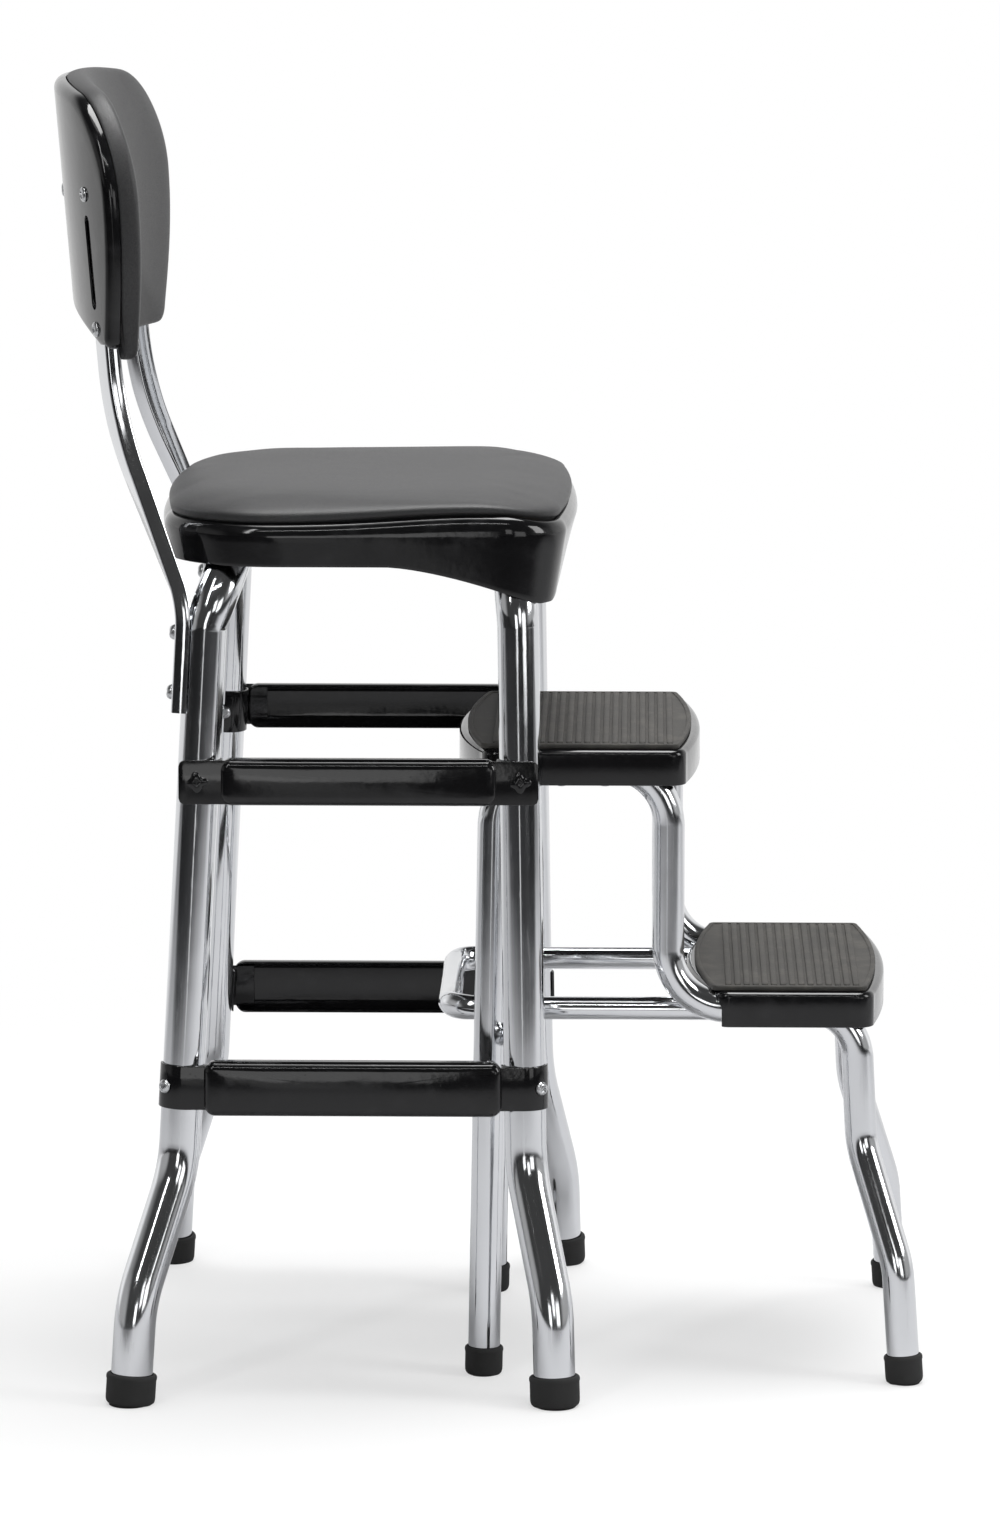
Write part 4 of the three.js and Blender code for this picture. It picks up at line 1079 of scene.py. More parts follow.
@dataclass
class CrossBar:
    """The thin rod between the front legs under the guide rails."""

    legs: LegLoop
    radius: float = 8
    height: float = 238.1
    sides: int = 40

    def build(self) -> None:
        """Makes the rod, its ends shaped to the legs."""
        right, left = (self.legs.at(self.height, side) for side, _ in SIDES)
        along = (left - right).normalized()
        rings = []
        for station, leg, way in ((right, right, 1), (left, left, -1)):
            ring_points = []
            for angle in turns(self.sides)[:-1]:
                offset = Vector((math.cos(angle), 0, math.sin(angle))) * self.radius
                reach = self.legs.radius + GAP
                stand = math.sqrt(reach ** 2 - offset.x ** 2)
                lean = self.legs.way(1 if leg is left else -1)
                shift = along * way * stand + Vector((0, lean.y / lean.z * offset.z, 0))
                ring_points.append(station + offset + shift)
            rings.append(ring_points)
        piece("front_cross_bar_rod", loft(rings), Body.CHAIR, CHROME, "front_cross_bar")


@dataclass
class Brace:
    """A pressed steel brace between two legs, one of each pair of a kind."""

    level: str
    height: float
    padded: bool
    front: LegLoop
    rear: LegLoop
    sheet: float = 1.5
    tall: float = 32
    depth: float = 12
    bulge: float = 2
    dome: float = 1.6
    extra: float = 0
    corner: float = 8
    roll: float = 5.5
    strap_inset: float = 1
    pad_half_width: float = 12.5
    tab_corner: float = 4
    dimple_radius: float = 6.5
    wrap: float = 189
    screw: Screw = field(default_factory=lambda: Screw(4.8, 3, 9))

    @property
    def face(self) -> float:
        """The strap's outer face, from the middle of a leg."""
        return self.front.radius + GAP + self.sheet

    def build(self) -> None:
        """Makes both braces of this kind and their screws."""
        for side, word in SIDES:
            node = f"{self.level}_{word}_brace"
            piece(f"{node}_pressing", self.form(side), Body.CHAIR, ENAMEL, node,
                  angle=PRESSED_ANGLE)
            for end, legs, ahead in (("front", self.front, 1), ("rear", self.rear, -1)):
                axis = legs.way(side)
                way = Vector((0, -side, 0)) if self.padded else Vector((ahead, side, 0))
                facing = square_to(axis, way)
                seat = legs.at(self.height, side) + facing * (self.face + GAP)
                self.screw.fit(f"{self.level}_{end}_{word}_brace_screw", Body.CHAIR, seat,
                               facing, 0.4 + 0.5 * ahead * side)

    def form(self, side: int) -> Form:
        """One brace: a tray between the legs, with a strap round each.

        Args:
            side: -1 right, 1 left.

        Returns:
            The form.
        """
        rear, front = self.rear.at(self.height, side), self.front.at(self.height, side)
        span = front.x - rear.x
        lean = Quaternion((1, 0, 0), math.atan(
            side * (self.front.knee_high_half_spread - self.front.shoulder_half_spread)
            / (self.front.shoulder_height - self.front.knee_high_height)))
        form = self.pressing(span)
        flip = Vector((1, side, 1))
        for x, legs, ahead in ((0, self.rear, 1), (span, self.front, -1)):
            axis = lean.inverted() @ legs.way(side)
            axis = Vector((axis.x, axis.y * side, axis.z))
            form.join(self.strap(x, axis, ahead))
        place = Matrix.Translation(rear) @ lean.to_matrix().to_4x4()
        placed = form.shaped(lambda p: Vector(a * b for a, b in zip(p, flip)))
        return placed.moved(place)

    def pressing(self, span: float) -> Form:
        """The tray, its face outwards, with its skirts along the top and bottom.

        Args:
            span: From the middle of one leg to the middle of the other.

        Returns:
            The form.
        """
        start = self.face - self.sheet / 2
        half = self.tall / 2 + self.extra
        outline = oblong(start, span - start, half, self.corner, self.corner)
        centre = Vector((span / 2, 0))

        lip = self.roll + 0.4

        def skirt(point: Vector, outward: Vector) -> float:
            """Full depth along the sides, and only the bulge over the straps."""
            return lip + (self.depth - lip) * min(1.0, abs(outward.y) ** 2)

        rings = tray(outline, self.roll, self.sheet, skirt, centre)
        crown = self.bulge + self.face
        middle = Vector((centre.x, 0, 0))
        flat = loft(rings, middle, middle - UP * self.sheet)

        def domed(p: Vector) -> Vector:
            """The face, stretched outwards along its middle and flat at its ends.

            Args:
                p: A point of the flat tray.

            Returns:
                The point in its place.
            """
            ends = unit((span / 2 - start - abs(p.x - centre.x)) / self.tall)
            across = max(0.0, 1 - (p.y / half) ** 2)
            return Vector((p.x, p.z + crown + self.dome * across * math.sqrt(ends), -p.y))

        return flat.shaped(domed)

    def strap(self, x: float, axis: Vector, ahead: int) -> Form:
        """The strap round one leg, from its facing side inwards or round its outer side.

        Args:
            x: Where the leg is.
            axis: The way up the leg.
            ahead: 1 where the brace lies in front of the leg, -1 where it lies behind.

        Returns:
            The form.
        """
        low, high = (-90, 90) if self.padded else (0, self.wrap)
        half = self.tall / 2 - self.strap_inset
        inner = self.face - self.sheet
        rings = []
        steps = 40
        for i in range(steps + 1):
            angle = math.radians(low + (high - low) * i / steps)
            way = Vector((ahead * math.cos(angle), math.sin(angle), 0))
            rings.append(self.band(way * inner, way * self.face, half))
        form = loft(rings).moved(turned_to(axis))
        near = -self.pad_half_width if self.padded else 0
        far = self.face + self.roll + self.corner
        form.join(self.tab(ahead * near, ahead * far, half))
        if self.padded:
            form.join(self.dimple())
        return form.moved(Matrix.Translation((x, 0, 0)))

    @staticmethod
    def band(inner: Vector, outer: Vector, half: float) -> list[Vector]:
        """A section of a strap with rounded edges.

        Args:
            inner: Its inner face.
            outer: Its outer face.
            half: Half its height.

        Returns:
            The section.
        """
        def at(share: float, height: float) -> Vector:
            """A place between the faces."""
            return inner.lerp(outer, share) + UP * height

        soft = 0.5
        return [at(0.2, -half), at(0.8, -half), at(0.95, -half + soft * 0.4),
                at(1, -half + soft), at(1, half - soft), at(0.95, half - soft * 0.4),
                at(0.8, half), at(0.2, half), at(0, half - soft), at(0, -half + soft)]

    def tab(self, near: float, far: float, half: float) -> Form:
        """The flat tab on a leg's outer side, from the tray's end.

        Args:
            near: Where it ends, along the brace.
            far: Where it meets the tray.
            half: Half its height.

        Returns:
            The form.
        """
        inner, corner = self.face - self.sheet, self.tab_corner
        rings = []
        for share in (0, 0.02, 0.06, 0.12, 0.5, 1):
            x = near + (far - near) * share
            reach = abs(x - near)
            cut = corner - math.sqrt(max(0, corner ** 2 - max(0, corner - reach) ** 2))
            height = half - (cut if self.padded else 0)
            rings.append(self.band(Vector((x, inner, 0)), Vector((x, self.face, 0)), height))
        return loft(rings)

    def dimple(self) -> Form:
        """The raised dimple on a tab.

        Returns:
            The form.
        """
        rows = [(0, -0.3), (1, -0.3), (0.96, 0.12), (0.86, 0.55), (0.7, 1.1), (0.52, 1.4),
                (0.34, 1.5), (0.2, 1.35), (0.08, 1.22), (0, 1.2)]
        profile = [(self.dimple_radius * share, rise) for share, rise in rows]
        turn = Matrix.Translation((0, self.face, 0)) @ Matrix.Rotation(-QUARTER, 4, "X")

        def lobed(p: Vector) -> Vector:
            """Uneven, as a blow from a blunt punch leaves it.

            Args:
                p: A point of the round dimple.

            Returns:
                The point moved.
            """
            angle = math.atan2(p.y, p.x)
            swell = 1 + 0.17 * math.cos(4 * angle + 0.5) + 0.07 * math.cos(3 * angle)
            return Vector((p.x * swell, p.y * swell, p.z))

        return lathe(profile, 36).shaped(lobed).moved(turn)


# Seat


@dataclass
class Seat:
    """The pressed seat pan and its cushion."""

    top: float = 594
    front: float = SEAT_FRONT
    depth: float = 288
    half_width: float = 168
    rear_corner: float = 80
    front_corner: float = 44
    rear_bow: float = 5
    front_bow: float = 6
    sheet: float = 1.4
    apron: float = 21
    taper: float = 2
    front_taper: float = 5
    shoulder: float = 9
    ear_drop: float = 26
    ear_length: float = 104
    ear_front: float = 12
    ear_half_spread: float = 140
    rim_height: float = 8
    rim_inset: float = 6.5
    rim_rise: float = 5.8
    rim_width: float = 12
    board: float = 8
    board_inset: float = 14
    pad_low: float = 5
    pad_crown: float = 13
    pad_inset: float = 2.5
    pad_power: float = 6
    pad_fall: float = 0.3
    pad_edge_lift: float = 0.8
    pad_lift_power: float = 14
    pad_rounder: float = 14
    pad_steps: int = 34
    swell: float = 1.4
    pucker_reach: float = 14
    screw: Screw = field(default_factory=lambda: Screw(4.5, 3, 39))
    screw_half_spread: float = 80

    @property
    def rear(self) -> float:
        """The seat's rearmost x."""
        return self.front - self.depth

    @property
    def centre(self) -> Vector:
        """The middle of the seat."""
        return Vector(((self.front + self.rear) / 2, 0))

    def outline(self, fine: int, rounder: float = 0) -> list[Edge]:
        """The seat's outline from above, with its front corners made rounder."""
        return oblong(self.rear, self.front, self.half_width, self.rear_corner,
                      self.front_corner + rounder, self.rear_bow, self.front_bow, fine)

    def side_lift(self, point: Vector, outward: Vector) -> float:
        """How much the rim lifts along each side, most just behind the front legs.

        Args:
            point: A point of the outline.
            outward: The way out of it.

        Returns:
            The lift.
        """
        peak, spread = 0.78, 0.27
        place = (point.x - self.rear) / self.depth
        return self.rim_rise * math.exp(-(((place - peak) / spread) ** 2)) * outward.y ** 4

    def apron_edge(self, point: Vector, outward: Vector) -> float:
        """The height of the apron's hem, which drops over the front legs.

        Args:
            point: A point of the outline.
            outward: The way out of it; not used.

        Returns:
            The height.
        """
        forward = unit((point.x + self.ear_front) / self.ear_length + 1)
        sideways = min(1.0, abs(point.y) / self.ear_half_spread)
        return self.top - self.apron - self.ear_drop * forward ** 1.5 * sideways ** 1.6

    def pan(self) -> Form:
        """The pan: a plate with a raised rim, a rolled shoulder and a shaped apron.

        Returns:
            The form.
        """
        outline = self.outline(20)
        middle = self.centre
        crest = self.top + self.rim_height
        start = crest - self.shoulder

        def flank(point: Vector, outward: Vector) -> float:
            """How far the apron's hem leans in."""
            return self.taper + self.front_taper * max(0.0, outward.x) ** 2

        def down(share: float, sheet: float) -> list[Vector]:
            """The apron at a share of its depth, inside or outside."""
            return ring(outline, lambda p, o: flank(p, o) * share + sheet,
                        lambda p, o: start + (self.apron_edge(p, o) - start) * share)

        def shoulder(angle: float, sheet: float) -> list[Vector]:
            """The shoulder, from its crest at no angle to the apron at a quarter turn.

            Args:
                angle: How far round it.
                sheet: Zero outside, or the sheet's thickness inside.

            Returns:
                The ring.
            """
            inset = self.rim_inset * (1 - math.sin(angle)) + sheet * math.sin(angle) ** 0.5
            drop = self.shoulder * (1 - math.cos(angle)) + sheet * math.cos(angle) ** 0.5
            lift = math.cos(angle) ** 0.64
            return ring(outline, inset,
                        lambda p, o: crest - drop + self.side_lift(p, o) * lift)

        angles = turns(9, QUARTER)[:-1]
        rings = [ring(outline, self.rim_width, self.top, share, middle) for share in (0.6, 1)]
        for inset, height in ((0.9, 0.12), (0.72, 0.34), (0.5, 0.66), (0.3, 0.88), (0.14, 0.97)):
            rings.append(ring(outline, self.rim_inset + (self.rim_width - self.rim_inset) * inset,
                              lambda p, o, h=height:
                              self.top + (self.rim_height + self.side_lift(p, o)) * h))
        rings += [shoulder(angle, 0) for angle in angles]
        rings += [down(share, 0) for share in (0, 0.2, 0.45, 0.7, 0.9, 0.97)]
        rings += [down(1, self.sheet * share) for share in (0.15, 0.5, 0.85)]
        rings += [down(share, self.sheet) for share in (0.97, 0.9, 0.45, 0)]
        rings += [shoulder(angle, self.sheet) for angle in reversed(angles[::2])]
        rings.append(ring(outline, self.rim_width - self.sheet, self.top - self.sheet))
        crown = Vector((middle.x, 0, self.top))
        return loft(rings, crown, crown - UP * self.sheet)

    def pad(self) -> Form:
        """The cushion before it fills, wrapped round its board and sitting in the rim.

        Returns:
            The form.
        """
        outline = self.outline(15, self.pad_rounder)
        foot = self.top + GAP
        crest = foot + self.rim_height
        recess = foot + self.board + GAP
        middle = self.centre
        inset = self.board_inset - GAP
        rise = self.pad_crown - self.swell

        def lifted(height: float, share: float) -> Measure:
            """A level above the crest that keeps a share of the rim's lift."""
            return lambda p, o: crest + height + share * self.side_lift(p, o)

        def topped(crown: float, share: float) -> Measure:
            """The top, level but for its lifted edge and a fall towards the front.

            Args:
                crown: How far it rises above its edge.
                share: How far out it lies, as a share of the outline.

            Returns:
                Its height, by a point and its way out.
            """
            def fall(point: Vector) -> float:
                """The share of the crown that a point keeps."""
                forward = max(0.0, (point.x - middle.x) / self.depth * 2) * share
                return 1 - self.pad_fall * forward ** 4 * (crown / rise)

            base, edge = crest + self.pad_low, self.pad_edge_lift * share ** self.pad_lift_power
            return lambda p, o: base + crown * fall(p) + edge * self.side_lift(p, o)

        rings = [ring(outline, inset, recess, share, middle) for share in (0.35, 0.7, 1)]
        rings += [ring(outline, inset, foot), ring(outline, self.rim_width + GAP, foot),
                  ring(outline, self.rim_inset + GAP, lifted(0, 1))]
        for share, height in ((0.75, 0.05), (0.5, 0.16), (0.28, 0.34), (0.12, 0.58), (0, 1)):
            rings.append(ring(outline, self.pad_inset + (self.rim_inset - self.pad_inset) * share,
                              lifted(self.pad_low * height, 1 - 0.2 * height)))
        for angle in turns(self.pad_steps, QUARTER)[1:-1]:
            share = math.cos(angle) ** CROWN_SPACING
            crown = rise * math.sqrt(1 - share ** self.pad_power)
            rings.append(ring(outline, self.pad_inset, topped(crown, share), share, middle))
        under = Vector((middle.x, 0, recess))
        over = Vector((middle.x, 0, crest + self.pad_low + rise))
        return loft(rings, under, over)

    def build(self, front: LegLoop, rear: LegLoop) -> None:
        """Makes the pan, the cushion and the screws.

        Args:
            front: The front legs.
            rear: The rear legs.
        """
        piece("seat_pan_pressing", self.pan(), Body.CHAIR, ENAMEL, "seat_pan", angle=50)
        free = in_metres(Vector((0, 0, self.top + self.rim_height + GAP + 1.5))).z

        def held(point: Vector) -> bool:
            """True where the cover is stapled under or tucked against the pan."""
            return point.z < free

        pad = stuffed("seat_cushion_cover", self.pad(), held, self.swell)
        pucker(pad, self.top + self.rim_height, self.pucker_reach)
        dress(pad, Body.CHAIR, VINYL, "seat_cushion")
        for side, word in SIDES:
            for end, legs in (("front", front), ("rear", rear)):
                bar = legs.corners(side)[-1]
                seat = Vector((bar.x, side * self.screw_half_spread,
                               bar.z - legs.radius - GAP))
                self.screw.fit(f"seat_{end}_{word}_screw", Body.CHAIR, seat, -UP, 0.7 * side)


def stuffed(name: str, form: Form, held: Callable[[Vector], bool],
            swell: float) -> bpy.types.Object:
    """Fills a cover by cloth simulation, held where it is fixed.

    Args:
        name: The piece's name.
        form: The cover before it fills.
        held: Tells whether a point, in metres, is fixed.
        swell: The furthest a point may move, in millimetres.

    Returns:
        The filled cover.
    """
    made = new_object(name, form)
    rest = [vertex.co.copy() for vertex in made.data.vertices]
    group = made.vertex_groups.new(name="held")
    group.add([i for i, point in enumerate(rest) if held(point)], 1.0, "REPLACE")
    cloth = made.modifiers.new("fill", "CLOTH")
    cloth.settings.vertex_group_mass = group.name
    for setting, value in CLOTH.items():
        setattr(cloth.settings, setting, value)
    cloth.settings.effector_weights.gravity = 0
    cloth.collision_settings.use_collision = False
    for step in range(1, CLOTH_FRAMES + 1):
        bpy.context.scene.frame_set(step)
    settle(made)
    bpy.context.scene.frame_set(1)
    made.vertex_groups.clear()
    limit = swell * MM
    moves = []
    for vertex, start in zip(made.data.vertices, rest):
        move = vertex.co - start
        if move.length > 0:
            move *= limit * math.tanh(move.length / limit) / move.length
        moves.append(move)
    for vertex, start, move in zip(made.data.vertices, rest, evened(made, moves)):
        vertex.co = start + move
    rounded = made.modifiers.new("round", "SUBSURF")
    rounded.levels = rounded.render_levels = 1
    settle(made)
    smooth(made, COVER_ANGLE)
    return made


def evened(made: bpy.types.Object, moves: Sequence[Vector], rounds: int = 5) -> list[Vector]:
    """Averages each vertex's move with its neighbours', which takes out sharp ridges.

    Args:
        made: The cover.
        moves: Each vertex's move.
        rounds: How often they are averaged.

    Returns:
        The moves, evened out.
    """
    near = [[] for _ in moves]
    for edge in made.data.edges:
        one, other = edge.vertices
        near[one].append(other)
        near[other].append(one)
    for _ in range(rounds):
        moves = [sum((moves[j] for j in others), move) / (len(others) + 1)
                 for move, others in zip(moves, near)]
    return moves


def pucker(made: bpy.types.Object, foot: float, reach: float, depth: float = 0.22) -> None:
    """Draws small folds into a cover's flank, where it is pulled down and stapled.

    Args:
        made: The cover.
        foot: The height of its lower edge.
        reach: How far up the folds go.
        depth: How deep they are.
    """
    low = foot * MM
    for vertex in made.data.vertices:
        rise = (vertex.co.z - low) / (reach * MM)
        if not 0 < rise < 1:
            continue
        place = vertex.co / MM
        fold = noise.noise(Vector((place.x / FOLD_ACROSS, place.y / FOLD_ACROSS,
                                   place.z / FOLD_DOWN)))
        vertex.co -= vertex.normal * depth * MM * (1 - rise) ** 1.5 * (0.5 + fold)


# Backrest


@dataclass
class Backrest:
    """The curved steel shell, its cushion and the two supports that carry it."""

    seat: Seat
    legs: LegLoop
    width: float = 332
    height: float = 180.5
    rise: float = 120.5
    behind: float = 60.6
    curve: float = 327
    lean: float = 4.6
    top_corner: float = 57
    top_bow: float = 18
    widest: float = 101.5
    taper_share: float = 0.13
    taper_power: float = 1.7
    foot_corner: float = 8
    foot_arch: float = 21
    arch_spread: float = 128
    sheet: float = 1.2
    flange: float = 9
    roll: float = 7
    slot_width: float = 10
    slot_height: float = 64.5
    slot_foot: float = 26.8
    cutter_reach: float = 8
    board: float = 4
    board_inset: float = 13
    board_corner: float = 4
    pad_top: float = 3
    pad_foot: float = 9.5
    pad_side: float = 1.5
    pad_corner: float = 12
    pad_lip: float = 10
    pad_low: float = 7
    pad_crown: float = 18
    pad_thinner: float = 0.35
    pad_edge_share: float = 0.3
    pad_edge_power: float = 40
    pad_dome_power: float = 2.4
    pad_steps: int = 26
    swell: float = 1.2
    support_width: float = 24
    support_depth: float = 10.5
    support_sheet: float = 1.3
    support_corner: float = 3
    support_half_spread: float = 122
    support_foot: float = 471
    support_bend: float = 542
    support_drop: float = 52.5
    support_reach: float = 119.5
    low_radius: float = 60
    high_radius: float = 220
    support_step: float = 1.2
    notch: float = 1.5
    notch_height: float = 16
    support_belly: float = 0.5
    support_screw: Screw = field(default_factory=lambda: Screw(5.2, 4, 16))
    support_screw_low: float = 13
    support_screw_spacing: float = 41
    shell_screw_low: float = 13.5
    shell_screw_high: float = 105.5
    shell_screw_middle: float = 100.5

    @property
    def place(self) -> Matrix:
        """From the backrest's own frame to the chair's."""
        origin = Vector((self.seat.rear - self.behind, 0, self.seat.top + self.rise))
        return Matrix.Translation(origin) @ Matrix.Rotation(-math.radians(self.lean), 4, "Y")

    @property
    def centre(self) -> Vector:
        """The middle of the flat outline."""
        return Vector((self.height / 2, 0))

    @property
    def sag(self) -> float:
        """How far the shell's curve rises across the width of a support."""
        return self.support_width ** 2 / (8 * self.curve)

    @property
    def channel_face(self) -> float:
        """Where the supports' rear faces are, from the shell's rear."""
        return self.sheet + GAP + self.sag

    @property
    def board_rear(self) -> float:
        """Where the board's rear face is."""
        return self.channel_face + self.support_depth + GAP + self.sag

    @property
    def pad_rear(self) -> float:
        """Where the cushion's rear face is."""
        return self.board_rear + GAP

    @property
    def across(self) -> float:
        """Where the supports are, measured round the curve."""
        return self.curve * math.asin(self.support_half_spread / self.curve)

    def bent(self, across: float, upward: float, forward: float) -> Vector:
        """A place on the backrest.

        Args:
            across: How far across, round the curve.
            upward: How far up it.
            forward: How far forward of its rear face.

        Returns:
            The place.
        """
        angle = across / self.curve
        radius = self.curve - forward
        return self.place @ Vector((self.curve - radius * math.cos(angle),
                                    radius * math.sin(angle), upward))

    def rearward(self, across: float) -> Vector:
        """The way that the rear face looks at a place across it."""
        angle = across / self.curve
        return self.place.to_3x3() @ Vector((-math.cos(angle), math.sin(angle), 0))

    def bend(self, flat: Form) -> Form:
        """Bends a form made flat: x up, y across and z forward."""
        return flat.shaped(lambda p: self.bent(p.y, p.x, p.z))

    def outline(self, above: float, below: float, beside: float, foot_corner: float,
                arch: float, fine: int) -> list[Edge]:
        """The outline, grown past the shell. It narrows towards its foot.

        Args:
            above: How far past its top.
            below: How far past its foot.
            beside: How far past its sides.
            foot_corner: Radius of its lower corners.
            arch: How far its lower edge rises in the middle.
            fine: Steps across each half.

        Returns:
            The outline, with its upper and lower points at matching places across.
        """
        half = self.width / 2 + beside
        corner = self.top_corner + above
        flat = half - corner
        places = [flat * i / fine for i in range(fine)]
        places += [flat + corner * math.sin(a) for a in turns(fine, QUARTER)]
        upper = []
        for y in places:
            drop = corner - math.sqrt(max(0.0, corner ** 2 - max(0.0, y - flat) ** 2))
            upper.append((self.height + above - self.top_bow * (y / half) ** 2 - drop, y))
        upper.append((self.widest, half))

        def half_at(x: float) -> float:
            """Half the width at a height."""
            low = max(0.0, 1 - x / self.widest)
            return half * (1 - self.taper_share * low ** self.taper_power)

        foot_flat = half_at(foot_corner - below) - foot_corner
        foot = [(arch * max(0.0, 1 - (y / self.arch_spread) ** 2) - below, y)
                for y in places if y < foot_flat]
        for angle in turns(6, QUARTER)[1:]:
            foot.append((foot_corner * (1 - math.cos(angle)) - below,
                         foot_flat + foot_corner * math.sin(angle)))
        rest = len(upper) - len(foot)
        for i in range(1, rest + 1):
            x = foot_corner - below + (self.widest - foot_corner + below) * i / (rest + 1)
            foot.append((x, half_at(x)))
        return mirrored([*upper, *reversed(foot)])

    def pad_outline(self, inset: float = 0) -> list[Edge]:
        """The cushion's outline, drawn in by an inset."""
        return self.outline(self.pad_top - inset, self.pad_foot - inset, self.pad_side - inset,
                            max(self.pad_corner - inset, self.board_corner), 0, 12)

    def shell(self) -> Form:
        """The shell: a plate with a rolled edge and a flange towards the cushion.

        Returns:
            The form.
        """
        outline = self.outline(0, 0, 0, self.foot_corner, self.foot_arch, 14)
        fine = rolled(self.roll, 7)
        lip = self.flange - 0.5
        rows = [(self.roll, 0), *fine[1:], (0, lip), (self.sheet / 2, self.flange),
                (self.sheet, lip)]
        rows += [(inset + self.sheet, drop + self.sheet * drop / self.roll)
                 for inset, drop in reversed(fine[1:])]
        rows.append((self.roll + self.sheet, self.sheet))
        rings = [ring(outline, inset, height) for inset, height in rows]
        form = loft(rings, ends=False)
        count = len(outline)
        for start, level in ((0, 0), ((len(rings) - 1) * count, self.sheet)):
            self.strips(form, start, count, level)
        return self.bend(form)

    @staticmethod
    def strips(form: Form, start: int, count: int, level: float) -> None:
        """Closes a ring with rows of quads between its matching upper and lower points.

        Args:
            form: What the ring belongs to.
            start: Its first point.
            count: How many points it has.
            level: Its height.
        """
        rows = 12
        half = count // 2
        columns = []
        last = (half - 3) // 2
        for i in range(-last, last + 1):
            top = form.points[start + i % count]
            foot = form.points[start + (half - i) % count]
            column = [start + i % count]
            for r in range(1, rows):
                place = top.lerp(foot, r / rows)
                form.points.append(Vector((place.x, place.y, level)))
                column.append(len(form.points) - 1)
            columns.append([*column, start + (half - i) % count])
        for left, right in zip(columns, columns[1:]):
            for r in range(rows):
                form.faces.append((left[r], right[r], right[r + 1], left[r + 1]))
        for i in (last, -last):
            step = 1 if i > 0 else -1
            edge = columns[-1] if i > 0 else columns[0]
            side = [start + (i + step * k) % count for k in range(1, half - 2 * last)]
            form.faces.append((*edge, *reversed(side)))

    def frame_at(self, across: float, upward: float, forward: float) -> Matrix:
        """A frame on the rear face: x across it, y up it and z out of it.

        Args:
            across: How far across, round the curve.
            upward: How far up it.
            forward: How far forward of its rear face.

        Returns:
            The frame.
        """
        outward = self.rearward(across)
        upright = square_to(outward, self.place.to_3x3() @ UP)
        frame_here = Matrix((upright.cross(outward), upright, outward)).transposed().to_4x4()
        frame_here.translation = self.bent(across, upward, forward)
        return frame_here

    def slot(self, across: float) -> Form:
        """The cutter for a long slot with round ends.

        Args:
            across: Where it is, round the curve.

        Returns:
            The form.
        """
        radius = self.slot_width / 2
        low = [(-radius * math.cos(a), radius - radius * math.sin(a))
               for a in turns(16, math.pi)]
        high = [(-x, self.slot_height - y) for x, y in low]
        rings = [[Vector((x, y, z)) for x, y in [*low, *high]]
                 for z in (-self.cutter_reach, self.cutter_reach)]
        return loft(rings).moved(self.frame_at(across, self.slot_foot, self.sheet / 2))

    def notch_cutter(self, across: float) -> Form:
        """The cutter for the opening in the flange round a support.

        Args:
            across: Where the support is, round the curve.

        Returns:
            The form.
        """
        half = self.support_width / 2 + self.notch
        corners = ((-half, -self.cutter_reach), (half, -self.cutter_reach),
                   (half, self.notch_height), (-half, self.notch_height))
        rings = [[Vector((x, y, z)) for x, y in corners] for z in (-self.flange - 6, 0)]
        return loft(rings).moved(self.frame_at(across, 0, self.sheet))

    def pad(self) -> Form:
        """The backrest's cushion before it fills, round its board.

        Returns:
            The form.
        """
        outline = self.pad_outline()
        pocket = self.pad_outline(self.board_inset + self.pad_foot - GAP)
        middle = self.centre
        rear, low = self.pad_rear, self.pad_low

        def raised(crown: float) -> Measure:
            """The front, crowned above its edge but less towards the foot."""
            return lambda p, o: rear + low + crown * (
                1 - self.pad_thinner * max(0.0, 1 - p.x / middle.x) ** 2)

        def tucked(share: float) -> Measure:
            """Back to the shell's flange, but not low down, where the supports come up."""
            reach = (rear - self.flange - GAP) * share
            return lambda p, o: rear - reach * unit(p.x / self.notch_height)

        face = self.board_rear + self.board + GAP
        rings = [ring(pocket, 0, face, share, middle) for share in (0.4, 0.75, 1)]
        rings += [ring(pocket, 0, rear), ring(outline, self.pad_lip, rear),
                  ring(outline, self.pad_lip * 0.35, tucked(1)),
                  ring(outline, self.pad_lip * 0.2, tucked(0.9))]
        for inset, rise in ((0.9, 0.1), (0.35, 0.35), (0, 0.8), (0, 1)):
            rings.append(ring(outline, inset, rear + low * rise))
        full = self.pad_crown - self.swell
        for angle in turns(self.pad_steps, QUARTER)[1:-1]:
            share = math.cos(angle) ** CROWN_SPACING
            edge = self.pad_edge_share * math.sqrt(1 - share ** self.pad_edge_power)
            dome = (1 - self.pad_edge_share) * (1 - share ** self.pad_dome_power)
            rings.append(ring(outline, 0, raised(full * (edge + dome)), share, middle))
        under = Vector((middle.x, 0, face))
        over = Vector((middle.x, 0, rear + low + full))
        return self.bend(loft(rings, under, over))

    def section(self) -> list[tuple[float, float]]:
        """A support's section.

        Returns:
            Its points: across it, and forward from its rear face.
        """
        half, corner, sheet = self.support_width / 2, self.support_corner, self.support_sheet
        angles = turns(6, QUARTER)
        outer = [(half - corner + corner * math.sin(a), corner - corner * math.cos(a))
                 for a in angles]
        flank = self.support_depth - corner
        outer += [(half + self.support_belly * math.sin(math.pi * i / 8), corner + flank * i / 8)
                  for i in range(1, 8)]
        inner = [(half - corner + (corner - sheet) * math.sin(a),
                  corner - (corner - sheet) * math.cos(a)) for a in reversed(angles)]
        lip = [(half, self.support_depth - 0.4), (half - 0.3, self.support_depth),
               (half - sheet + 0.3, self.support_depth), (half - sheet, self.support_depth - 0.4)]
        one = [*outer, *lip, *inner]
        return [*one, *((-x, y) for x, y in reversed(one))]

